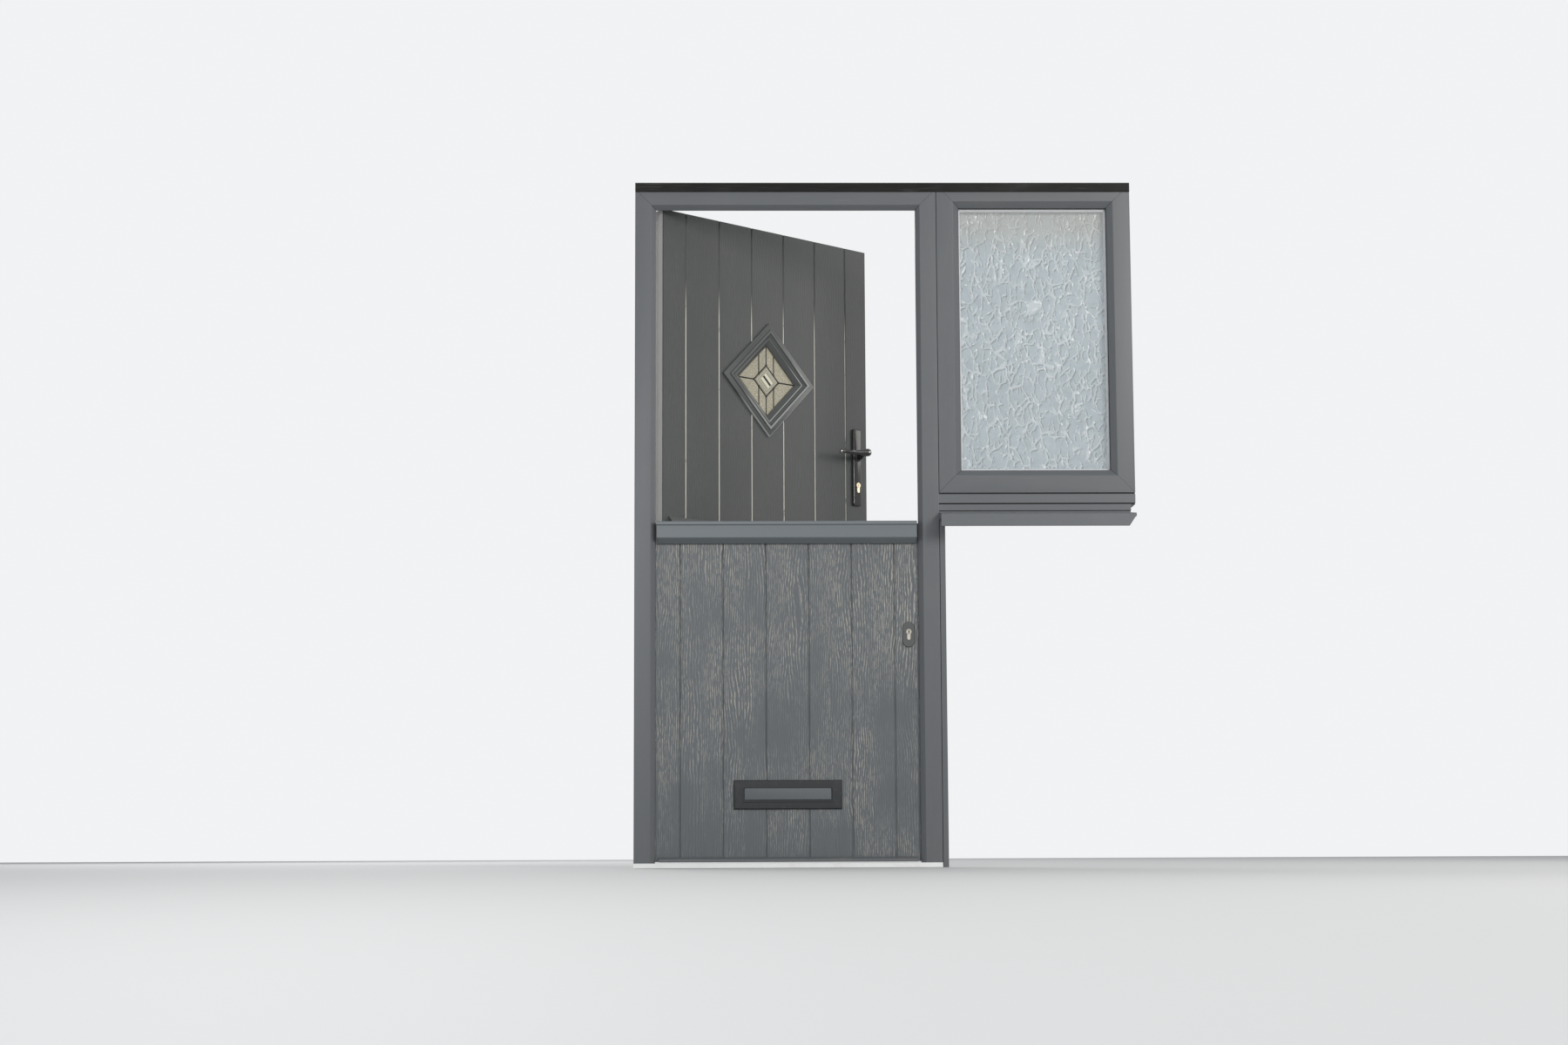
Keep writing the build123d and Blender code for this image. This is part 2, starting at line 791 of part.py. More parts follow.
# Diamond light: a stepped moulding with mitred corners outside, its twin inside, a sealed unit between
def light_moulding():
    """The outside moulding: its section is carried round the square from the middle of one side."""
    leg = 10.0
    start = Plane(
        origin=(light_half_diagonal / 2, skin_front, light_height - light_half_diagonal / 2),
        x_dir=(-1, 0, 1),
        z_dir=(1, 0, 1),
    )
    with BuildPart() as piece:
        with BuildLine(facade(skin_front)):
            Polyline(
                (light_half_diagonal / 2, light_height - light_half_diagonal / 2),
                (light_half_diagonal, light_height),
                (0, light_height + light_half_diagonal),
                (-light_half_diagonal, light_height),
                (0, light_height - light_half_diagonal),
                close=True,
            )
        with BuildSketch(start):
            with BuildLine():
                Polyline(
                    (0, 0),
                    (0, 6.5),
                    (1.5, 8),
                    (15, 11),
                    (17.5, 14.8),
                    (22, 14.8),
                    (24, 12.2),
                    (32.5, 6.8),
                    (35, 6.8),
                    (light_face_width, light_slope_end),
                    (light_face_width, -leg),
                    (light_face_width - 8, -leg),
                    (light_face_width - 8, 0),
                    close=True,
                )
            make_face()
        sweep(transition=Transition.RIGHT)
    return piece


light_outer_frame = light_moulding()
with BuildPart() as light_inner_frame:
    mirror(light_outer_frame.part, about=facade(leaf_middle))

light_pane_front = skin_front + 10.0
light_pane_back = skin_back - 10.0
with BuildPart() as light_panes:
    for y in (light_pane_front + pane_thickness, light_pane_back):
        with BuildSketch(facade(y)):
            diamond(pane_half_side * sqrt(2), light_height)
        extrude(amount=pane_thickness)
    with BuildSketch(facade(light_pane_front)):
        diamond(tile_half_diagonal, light_height)
    extrude(amount=tile_edge)
    with BuildSketch(facade(light_pane_front - tile_edge)):
        diamond(tile_half_diagonal, light_height)
    with BuildSketch(facade(light_pane_front - tile_rise)):
        diamond(tile_half_diagonal - tile_bevel, light_height)
    loft()

with BuildPart() as light_spacer:
    with BuildSketch(facade(light_pane_back - pane_thickness)):
        diamond((pane_half_side - 2) * sqrt(2), light_height)
        with Locations((0, light_height)):
            Rectangle(2 * (pane_half_side - 12), 2 * (pane_half_side - 12), rotation=45,
                      mode=Mode.SUBTRACT)
    extrude(amount=span((light_pane_front, light_pane_back)) - 2 * pane_thickness)

with BuildPart() as light_leading:
    opening_half_diagonal = light_half_diagonal - light_face_width * sqrt(2) - 0.8
    with BuildSketch(facade(light_pane_front)):
        diamond(lead_diamond + lead_width / sqrt(2), light_height)
        with Locations((0, light_height)):
            side = (lead_diamond - lead_width / sqrt(2)) * sqrt(2)
            Rectangle(side, side, rotation=45, mode=Mode.SUBTRACT)
        reach = opening_half_diagonal
        for sign in (-1, 1):
            with Locations((0, light_height + sign * (lead_diamond + reach) / 2)):
                Rectangle(lead_width, reach - lead_diamond)
            with Locations((sign * (lead_diamond + reach) / 2, light_height)):
                Rectangle(reach - lead_diamond, lead_width)
            for x in (-lead_upright_x, lead_upright_x):
                from_z = lead_diamond - lead_upright_x
                with Locations((x, light_height + sign * (from_z + reach) / 2)):
                    Rectangle(lead_width, reach - from_z)
        diamond_side = opening_half_diagonal * sqrt(2)
        with Locations((0, light_height)):
            Rectangle(diamond_side, diamond_side, rotation=45, mode=Mode.INTERSECT)
    extrude(amount=lead_thickness)


# Locks: a hollow steel case behind a long forend, with windows for its bolts
def lock_case(case, forend, key_height, windows, handle_height=None):
    """A lock case and its forend, which are riveted to each other and come out as one."""
    inner_z = (case[0] + case_wall, case[1] - case_wall)
    inner_y = (case_front + case_wall, case_back - case_wall)
    with BuildPart() as piece:
        block((case_left, leaf_half - forend_thickness), (case_front, case_back), case)
        with BuildSketch(Plane.YZ.offset(leaf_half - forend_thickness)):
            with Locations((leaf_middle, middle(forend))):
                RectangleRounded(2 * forend_half_width - 0.4, span(forend) - 0.4, 6.0)
        extrude(amount=forend_thickness)
        block((case_left + case_wall, leaf_half - forend_thickness), inner_y, inner_z, Mode.SUBTRACT)
        for height, half_height in windows:
            block((leaf_half - forend_thickness - 1, leaf_half + 1),
                  (leaf_middle - bolt_half_thickness - bolt_clearance,
                   leaf_middle + bolt_half_thickness + bolt_clearance),
                  (height - half_height - bolt_clearance, height + half_height + bolt_clearance),
                  Mode.SUBTRACT)
        with BuildSketch(facade(case_back + 1)):
            key_outline(key_height)
            if handle_height is not None:
                with Locations((lock_x, handle_height)):
                    Circle(6.5)
        extrude(amount=case_back - case_front + 2, mode=Mode.SUBTRACT)
    return piece


top_lock_case = lock_case(
    top_case, top_forend, top_key_height,
    ((spindle_height, latch_half_height), (top_deadbolt_height, deadbolt_half_height)),
    spindle_height,
)
bottom_lock_case = lock_case(
    bottom_case, bottom_forend, bottom_key_height,
    ((bottom_deadbolt_height, deadbolt_half_height),),
)


def deadbolt(height):
    """A square deadbolt, drawn back inside the leaf's edge."""
    with BuildPart() as piece:
        block((deadbolt_left, deadbolt_right),
              (leaf_middle - bolt_half_thickness, leaf_middle + bolt_half_thickness),
              (height - deadbolt_half_height, height + deadbolt_half_height))
        chamfer(piece.edges().group_by(Axis.X)[-1], length=0.8)
    return piece


top_deadbolt = deadbolt(top_deadbolt_height)
bottom_deadbolt = deadbolt(bottom_deadbolt_height)

# Sprung latch, sloped on the side that meets the keep as the leaf closes
with BuildPart() as latch_bolt:
    latch_tip = leaf_half + latch_throw
    with BuildSketch(Plane.XY.offset(spindle_height - latch_half_height)):
        with BuildLine():
            Polyline(
                (latch_left, leaf_middle - bolt_half_thickness),
                (leaf_half, leaf_middle - bolt_half_thickness),
                (latch_tip, leaf_middle + bolt_half_thickness - 3),
                (latch_tip, leaf_middle + bolt_half_thickness),
                (latch_left, leaf_middle + bolt_half_thickness),
                close=True,
            )
        make_face()
    extrude(amount=2 * latch_half_height)


def key_cylinder(height, front, back):
    """A profile cylinder through the leaf, bored for its plug and cut away round the cam."""
    with BuildPart() as piece:
        with BuildSketch(facade(back)):
            key_outline(height)
        extrude(amount=back - front)
        with BuildSketch(facade(back + 1)):
            with Locations((lock_x, height)):
                Circle(plug_bore)
        extrude(amount=back - front + 2, mode=Mode.SUBTRACT)
        slot_half = cam_half_thickness + cam_room
        block((lock_x - key_circle - 1, lock_x + key_circle + 1),
              (leaf_middle - slot_half, leaf_middle + slot_half),
              (height - cam_reach - cam_room, height + key_circle + 1), Mode.SUBTRACT)
    return piece


def key_plug(height, front, back):
    """The turning plug: a key slot outside, a cam with one tooth in the middle, a thumb-turn inside."""
    with BuildPart() as piece:
        with BuildSketch(facade(back + 2)):
            with Locations((lock_x, height)):
                Circle(plug_radius)
        extrude(amount=back + 2 - front)
        with BuildSketch(facade(leaf_middle + cam_half_thickness)):
            with Locations((lock_x, height)):
                Circle(cam_radius)
            with Locations((lock_x, height - cam_reach / 2)):
                Rectangle(cam_tooth_width, cam_reach)
        extrude(amount=2 * cam_half_thickness)
        with BuildSketch(facade(back + 4)):
            with Locations((lock_x, height)):
                Circle(cam_radius - 0.7)
        extrude(amount=3.6)
        with BuildSketch(facade(back + turn_reach)):
            with Locations((lock_x, height)):
                SlotOverall(turn_length, turn_width, rotation=90)
        extrude(amount=turn_reach - 4)
        with BuildSketch(facade(front)):
            with Locations((lock_x, height - 0.5)):
                Rectangle(1.6, 9.0)
            with Locations((lock_x, height + 2.5)):
                Circle(1.5)
        extrude(amount=-7.0, mode=Mode.SUBTRACT)
    return piece


top_cylinder_front = skin_front - plate_thickness - 3
top_cylinder_back = skin_back + plate_thickness + 3
top_key_cylinder = key_cylinder(top_key_height, top_cylinder_front, top_cylinder_back)
top_key_plug = key_plug(top_key_height, top_cylinder_front - 0.5, top_cylinder_back)
bottom_cylinder_front = skin_front - rose_thickness - 2
bottom_cylinder_back = skin_back + rose_thickness + 2
bottom_key_cylinder = key_cylinder(bottom_key_height, bottom_cylinder_front, bottom_cylinder_back)
bottom_key_plug = key_plug(bottom_key_height, bottom_cylinder_front - 0.5, bottom_cylinder_back)

# Lever handles: a plate, a lever on a short neck, and the same again inside, on one square spindle
with BuildPart() as outer_handle_plate:
    with BuildSketch(facade(skin_front)):
        with Locations((lock_x, (plate_low + plate_high) / 2)):
            RectangleRounded(plate_width, plate_high - plate_low, plate_corner)
    extrude(amount=plate_thickness)
    chamfer(outer_handle_plate.edges().group_by(Axis.Y)[0], length=plate_bevel)
    with BuildSketch(facade(skin_front + 1)):
        key_outline(top_key_height)
        with Locations((lock_x, spindle_height)):
            Circle(spigot_radius + spigot_clearance)
    extrude(amount=plate_thickness + 2, mode=Mode.SUBTRACT)
with BuildPart() as inner_handle_plate:
    mirror(outer_handle_plate.part, about=facade(leaf_middle))

plate_face = skin_front - plate_thickness
# Stations along the arm, from the head over the neck to the tip: x from the spindle, depth in
# front of the plate, height above the spindle, half thickness and half height
lever_stations = (
    (23.5, 37.0, 13.0, 3.5, 4.5),
    (19.5, 38.0, 13.0, 7.5, 10.0),
    (8.0, 38.0, 12.0, 9.0, 12.5),
    (-14.0, 39.0, 9.5, 7.5, 9.5),
    (-52.0, 40.0, 6.5, 5.4, 6.6),
    (-88.0, 39.0, 5.0, 5.0, 5.4),
    (-102.0, 38.0, 4.5, 6.2, 6.6),
    (-108.0, 38.0, 4.5, 3.4, 3.8),
)
with BuildPart() as outer_lever:
    for along, depth, rise, half_y, half_z in lever_stations:
        with BuildSketch(Plane.YZ.offset(lock_x + along)):
            with Locations((plate_face - depth, spindle_height + rise)):
                Ellipse(half_y, half_z)
    loft()
    with BuildSketch(facade(plate_face - lever_gap)):
        with Locations((lock_x, spindle_height)):
            Circle(neck_base_radius)
    with BuildSketch(facade(plate_face - neck_length)):
        with Locations((lock_x, spindle_height + neck_rise)):
            Circle(neck_radius)
    loft()
    with BuildSketch(facade(skin_front - 2)):
        with Locations((lock_x, spindle_height)):
            Circle(spigot_radius)
    extrude(amount=plate_thickness)
    with BuildSketch(facade(skin_front)):
        with Locations((lock_x, spindle_height)):
            Rectangle(spindle_side, spindle_side)
    extrude(amount=plate_thickness + 22, mode=Mode.SUBTRACT)
with BuildPart() as inner_lever:
    mirror(outer_lever.part, about=facade(leaf_middle))
with BuildPart() as lever_spindle:
    spindle_reach = plate_thickness + 21
    block((lock_x - spindle_side / 2, lock_x + spindle_side / 2),
          (skin_front - spindle_reach, skin_back + spindle_reach),
          (spindle_height - spindle_side / 2, spindle_height + spindle_side / 2))

# Oval escutcheons round the bottom key cylinder, one outside and one inside
with BuildPart() as key_escutcheons:
    for back, out in ((skin_front, rose_thickness), (skin_back, -rose_thickness)):
        with BuildSketch(facade(back)):
            with Locations((lock_x, rose_height)):
                SlotOverall(2 * rose_half_height, 2 * rose_half_width, rotation=90)
        extrude(amount=out)
    chamfer(key_escutcheons.edges().group_by(Axis.Y)[0], length=rose_bevel)
    chamfer(key_escutcheons.edges().group_by(Axis.Y)[-1], length=rose_bevel)
    with BuildSketch(facade(skin_back + rose_thickness + 1)):
        key_outline(bottom_key_height)
    extrude(amount=skin_back - skin_front + 2 * rose_thickness + 2, mode=Mode.SUBTRACT)

# Letter plate: an outside frame with half of the sleeve, an inside frame with the other half, two flaps
letter_bevel = 3.0
aperture_half = letter_flap_half + 1.0
with BuildPart() as letter_frame:
    with BuildSketch(facade(skin_front)):
        upright_rectangle((-letter_half_width, letter_half_width), (letter_low, letter_high))
    extrude(amount=letter_thickness)
    chamfer(letter_frame.edges().group_by(Axis.Y)[0], length=letter_bevel)
    block((-sleeve_half_width, sleeve_half_width), (skin_front, leaf_middle), (sleeve_low, sleeve_high))
    block((-sleeve_half_width + sleeve_wall, sleeve_half_width - sleeve_wall),
          (skin_front, leaf_middle + 1), (sleeve_low + sleeve_wall, sleeve_high - sleeve_wall),
          Mode.SUBTRACT)
    block((-aperture_half, aperture_half), (skin_front - letter_thickness - 1, skin_front + 1),
          (letter_flap_low - aperture_room, aperture_top), Mode.SUBTRACT)
    with BuildSketch(Plane.YZ.offset(-aperture_half - stub_length)):
        with Locations((letter_pivot_y, letter_pivot_height)):
            Circle(stub_radius + stub_clearance)
    extrude(amount=2 * (aperture_half + stub_length), mode=Mode.SUBTRACT)

with BuildPart() as letter_flap:
    block((-letter_flap_half, letter_flap_half),
          (letter_pivot_y - flap_half_thickness, letter_pivot_y + flap_half_thickness),
          (letter_flap_low, letter_pivot_height))
    with BuildSketch(Plane.YZ.offset(-letter_flap_half)):
        with Locations((letter_pivot_y, letter_pivot_height)):
            Circle(letter_barrel)
    extrude(amount=2 * letter_flap_half)
    with BuildSketch(Plane.YZ.offset(-letter_flap_half - stub_length)):
        with Locations((letter_pivot_y, letter_pivot_height)):
            Circle(stub_radius)
    extrude(amount=2 * (letter_flap_half + stub_length))

inner_pivot_y = skin_back + letter_thickness + 3.5
with BuildPart() as letter_inner_frame:
    with BuildSketch(facade(skin_back)):
        upright_rectangle((-letter_half_width, letter_half_width), (letter_low, letter_high))
    extrude(amount=-letter_thickness)
    chamfer(letter_inner_frame.edges().group_by(Axis.Y)[-1], length=letter_bevel)
    block((-sleeve_half_width - sleeve_wall, sleeve_half_width + sleeve_wall),
          (leaf_middle - 4, skin_back), (sleeve_low - sleeve_wall, sleeve_high + sleeve_wall))
    hollow_half = sleeve_half_width + inner_sleeve_gap
    block((-hollow_half, hollow_half), (leaf_middle - 5, skin_back + letter_thickness + 1),
          (sleeve_low - inner_sleeve_gap, sleeve_high + inner_sleeve_gap), Mode.SUBTRACT)
    for side in (-1, 1):
        lug = tuple(sorted((side * lug_x[0], side * lug_x[1])))
        block(lug, (skin_back + letter_thickness - 1, inner_pivot_y + lug_half),
              (inner_pivot_height - lug_half, inner_pivot_height + lug_half))
    with BuildSketch(Plane.YZ.offset(-lug_x[1])):
        with Locations((inner_pivot_y, inner_pivot_height)):
            Circle(stub_radius + stub_clearance)
    extrude(amount=2 * lug_x[1], mode=Mode.SUBTRACT)

with BuildPart() as letter_inner_flap:
    flap_half = lug_x[0] - 0.5
    block((-flap_half, flap_half),
          (inner_pivot_y - flap_half_thickness, inner_pivot_y + flap_half_thickness),
          (inner_flap_low, inner_pivot_height))
    with BuildSketch(Plane.YZ.offset(-flap_half)):
        with Locations((inner_pivot_y, inner_pivot_height)):
            Circle(letter_barrel)
    extrude(amount=2 * flap_half)
    with BuildSketch(Plane.YZ.offset(-lug_x[1] + 0.5)):
        with Locations((inner_pivot_y, inner_pivot_height)):
            Circle(stub_radius)
    extrude(amount=2 * lug_x[1] - 1)

# Barrel bolt inside that ties the bottom leaf to the top leaf
with BuildPart() as barrel_bolt_body:
    plate_x = (barrel_x - barrel_plate_half, barrel_x + barrel_plate_half)
    staple_x = (barrel_x - staple_half, barrel_x + staple_half)
    staple_back = rod_y + staple_reach
    block(plate_x, (skin_back, skin_back + barrel_plate), barrel_plate_z)
    for staple in barrel_staples:
        block(staple_x, (skin_back + barrel_plate, staple_back), staple)
    with BuildSketch(Plane.XY.offset(barrel_plate_z[0])):
        with Locations((barrel_x, rod_y)):
            Circle(rod_radius + rod_clearance)
    extrude(amount=span(barrel_plate_z), mode=Mode.SUBTRACT)

with BuildPart() as barrel_bolt_rod:
    with BuildSketch(Plane.XY.offset(rod_low)):
        with Locations((barrel_x, rod_y)):
            Circle(rod_radius)
    extrude(amount=rod_high - rod_low)
    chamfer(barrel_bolt_rod.edges().group_by(Axis.Z)[-1], length=rod_point)
    with BuildSketch(facade(rod_y + knob_reach - knob_length)):
        with Locations((barrel_x, knob_height)):
            Circle(knob_neck_radius)
    extrude(amount=knob_reach - knob_length)
    with BuildSketch(facade(rod_y + knob_reach)):
        with Locations((barrel_x, knob_height)):
            Circle(knob_radius)
    extrude(amount=knob_length)

with BuildPart() as barrel_bolt_keep:
    block((barrel_x - bolt_keep_half, barrel_x + bolt_keep_half),
          (skin_back, rod_y + staple_reach), bolt_keep_z)
    with BuildSketch(Plane.XY.offset(bolt_keep_z[0])):
        with Locations((barrel_x, rod_y)):
            Circle(rod_radius + bolt_keep_room)
    extrude(amount=span(bolt_keep_z), mode=Mode.SUBTRACT)

frame_pieces = {
    "hinge_jamb": hinge_jamb,
    "lock_jamb": lock_jamb,
    "frame_head": frame_head,
    "threshold": threshold,
    "head_trim": head_trim,
    "packing_strips": packing_strips,
    "frame_seal": frame_seal,
    "lock_sections": lock_sections,
    "lock_keeps": lock_keeps,
    "jamb_hinges": jamb_hinges,
    "hinge_pins": hinge_pins,
    "window_frame": window_frame,
    "window_beads": window_beads,
    "window_panes": window_panes,
    "window_spacer": window_spacer,
    "window_seal": window_seal,
    "window_strip": window_strip,
    "window_cill": window_cill,
    "cill_cap": cill_cap,
}
bottom_leaf_pieces = {
    "bottom_edge_frame": bottom_edge_frame,
    "bottom_outer_skin": bottom_outer_skin,
    "bottom_inner_skin": bottom_inner_skin,
    "bottom_foam_core": bottom_foam_core,
    "bottom_leaf_hinges": bottom_leaf_hinges,
    "weather_bar": weather_bar,
    "weather_bar_caps": weather_bar_caps,
    "drip_bar": drip_bar,
    "bottom_lock_case": bottom_lock_case,
    "bottom_deadbolt": bottom_deadbolt,
    "bottom_key_cylinder": bottom_key_cylinder,
    "bottom_key_plug": bottom_key_plug,
    "key_escutcheons": key_escutcheons,
    "letter_frame": letter_frame,
    "letter_flap": letter_flap,
    "letter_inner_frame": letter_inner_frame,
    "letter_inner_flap": letter_inner_flap,
    "barrel_bolt_body": barrel_bolt_body,
    "barrel_bolt_rod": barrel_bolt_rod,
}
top_leaf_pieces = {
    "top_edge_frame": top_edge_frame,
    "top_outer_skin": top_outer_skin,
    "top_inner_skin": top_inner_skin,
    "top_foam_core": top_foam_core,
    "top_leaf_hinges": top_leaf_hinges,
    "weather_rail": weather_rail,
    "light_outer_frame": light_outer_frame,
    "light_inner_frame": light_inner_frame,
    "light_panes": light_panes,
    "light_spacer": light_spacer,
    "light_leading": light_leading,
    "top_lock_case": top_lock_case,
    "latch_bolt": latch_bolt,
    "top_deadbolt": top_deadbolt,
    "top_key_cylinder": top_key_cylinder,
    "top_key_plug": top_key_plug,
    "outer_handle_plate": outer_handle_plate,
    "inner_handle_plate": inner_handle_plate,
    "outer_lever": outer_lever,
    "inner_lever": inner_lever,
    "lever_spindle": lever_spindle,
    "barrel_bolt_keep": barrel_bolt_keep,
}

# The top leaf is drawn closed above, and swings open about its hinge line here
swing = Location((hinge_x, hinge_y, 0), (0, 0, top_leaf_angle)) * Location((-hinge_x, -hinge_y, 0))
for piece in top_leaf_pieces.values():
    piece.part = piece.part.moved(swing)

for name, piece in (frame_pieces | bottom_leaf_pieces | top_leaf_pieces).items():
    piece.part.label = name
    export_step(piece.part, f"parts/{name}.step")
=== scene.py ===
import logging
import math
from collections.abc import Callable
from dataclasses import dataclass, field
from enum import Enum

import bmesh
import bpy
import numpy as np
from mathutils import Matrix


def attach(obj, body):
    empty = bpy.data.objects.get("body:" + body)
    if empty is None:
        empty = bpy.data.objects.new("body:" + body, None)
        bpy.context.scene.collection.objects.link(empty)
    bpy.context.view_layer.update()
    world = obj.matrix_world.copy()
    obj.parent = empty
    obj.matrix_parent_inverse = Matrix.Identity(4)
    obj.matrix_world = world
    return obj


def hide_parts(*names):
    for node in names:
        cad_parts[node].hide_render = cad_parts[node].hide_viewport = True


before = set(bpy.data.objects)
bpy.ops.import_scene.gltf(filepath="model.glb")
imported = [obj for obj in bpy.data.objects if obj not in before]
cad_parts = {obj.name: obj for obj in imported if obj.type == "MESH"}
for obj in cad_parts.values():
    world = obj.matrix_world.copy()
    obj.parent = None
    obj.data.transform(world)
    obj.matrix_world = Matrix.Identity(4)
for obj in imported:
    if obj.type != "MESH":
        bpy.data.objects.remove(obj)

log = logging.getLogger("stable_door")

# Sizes in millimetres, unless a name or a docstring says otherwise. Points of a mesh that are
# nearer than SEAM become one. BOX has the corners (x, z) of a rectangle as signs.
MM = 0.001
HINGE_X, HINGE_Y = -413.0, 44.0
HINGE_HEIGHTS = {"bottom": (170.0, 890.0), "top": (1190.0, 1870.0)}
OPEN_ANGLE = math.radians(38.35)
OPEN_COS, OPEN_SIN = math.cos(OPEN_ANGLE), math.sin(OPEN_ANGLE)
LEAF_MIDDLE = 10.0
SKIN_FRONT, SKIN_BACK = -14.0, 34.0
FRAME_HALF, FRAME_TOP, FRAME_FRONT = 460.0, 2069.0, -35.0
LOCK_X = 366.0
DIAMOND_HEIGHT, DIAMOND_HALF = 1534.0, 183.0
LIGHT_CENTRE, LIGHT_HALF = (758.0, 1604.75), (298.0, 478.25)
SEAM = 0.002
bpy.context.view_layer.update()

Colour = tuple[float, float, float]
Point = tuple[float, float, float]
Pair = tuple[float, float]

ANTHRACITE: Colour = (0.112, 0.119, 0.126)
WHITE: Colour = (0.74, 0.74, 0.72)
NEAR_BLACK: Colour = (0.02, 0.02, 0.02)
GREY_DIRT: Colour = (0.36, 0.33, 0.28)

BOX = np.array([(-1.0, -1.0), (-1.0, 1.0), (1.0, 1.0), (1.0, -1.0)])
OUT, BACK, UP, DOWN = (0.0, -1.0, 0.0), (0.0, 1.0, 0.0), (0.0, 0.0, 1.0), (0.0, 0.0, -1.0)


class Leaf(Enum):
    """Position that a piece is drawn in, where it stands or as on the closed top leaf, and its bodies."""

    STANDING = ("frame", "bottom_leaf", "flap", "rod")
    TOP = ("top_leaf", "levers")


class Side(Enum):
    """A face of a leaf, with the word that its pieces are named by."""

    OUTSIDE = "outer"
    INSIDE = "inner"


# Surfaces


def swung(points: np.ndarray) -> np.ndarray:
    """Turns points of the closed top leaf about the hinge line to where it stands open.

    Args:
        points: Points, three numbers in the last axis.

    Returns:
        The turned points.
    """
    turn = np.array([[OPEN_COS, OPEN_SIN, 0.0], [-OPEN_SIN, OPEN_COS, 0.0], [0.0, 0.0, 1.0]])
    hinge = np.array([HINGE_X, HINGE_Y, 0.0])
    return (points - hinge) @ turn + hinge


def mirrored(points: np.ndarray) -> np.ndarray:
    """Puts points of the leaf's outside on its inside, as far behind its middle as they were before.

    Args:
        points: Points, three numbers in the last axis.

    Returns:
        The mirrored points.
    """
    out = points.copy()
    out[..., 1] = 2 * LEAF_MIDDLE - out[..., 1]
    return out


def upright(flat: np.ndarray, depth: np.ndarray) -> np.ndarray:
    """Points (x, z) as points (x, depth, z)."""
    return np.stack([flat[..., 0], np.broadcast_to(depth, flat.shape[:-1]), flat[..., 1]], axis=-1)


def softened(points: list[Pair], radius: float, steps: int = 4) -> np.ndarray:
    """Rounds the corners of a closed outline.

    Each corner becomes a parabola that leaves one edge and joins the next at the given distance
    from the corner, or at 0.45 of the shorter edge.

    Args:
        points: The outline's corners in order.
        radius: Distance from each corner at which the rounding starts.
        steps: Spans in each rounding.

    Returns:
        The rounded outline, corners times (steps + 1) points.
    """
    p = np.array(points, float)
    before, after = np.roll(p, 1, axis=0) - p, np.roll(p, -1, axis=0) - p
    length_b = np.linalg.norm(before, axis=1, keepdims=True)
    length_a = np.linalg.norm(after, axis=1, keepdims=True)
    reach = np.minimum(radius, 0.45 * np.minimum(length_a, length_b))
    first = p + before / length_b * reach
    last = p + after / length_a * reach
    t = np.linspace(0.0, 1.0, steps + 1)[None, :, None]
    arc = (1 - t) ** 2 * first[:, None] + 2 * t * (1 - t) * p[:, None] + t**2 * last[:, None]
    return arc.reshape(-1, 2)


def through(stations: np.ndarray, count: int) -> np.ndarray:
    """A smooth run through stations: between two of them a cubic whose slope at each is half the
    step from the one before it to the one after it.

    Args:
        stations: Rows of values, one row for each station.
        count: Rows wanted.

    Returns:
        The smooth rows.
    """
    n = len(stations)
    slope = np.gradient(stations, axis=0)
    at = np.linspace(0.0, n - 1.0, count)
    i = np.minimum(at.astype(int), n - 2)
    t = (at - i)[:, None]
    a, b, ma, mb = stations[i], stations[i + 1], slope[i], slope[i + 1]
    return (
        (2 * t**3 - 3 * t**2 + 1) * a + (t**3 - 2 * t**2 + t) * ma
        + (-2 * t**3 + 3 * t**2) * b + (t**3 - t**2) * mb
    )


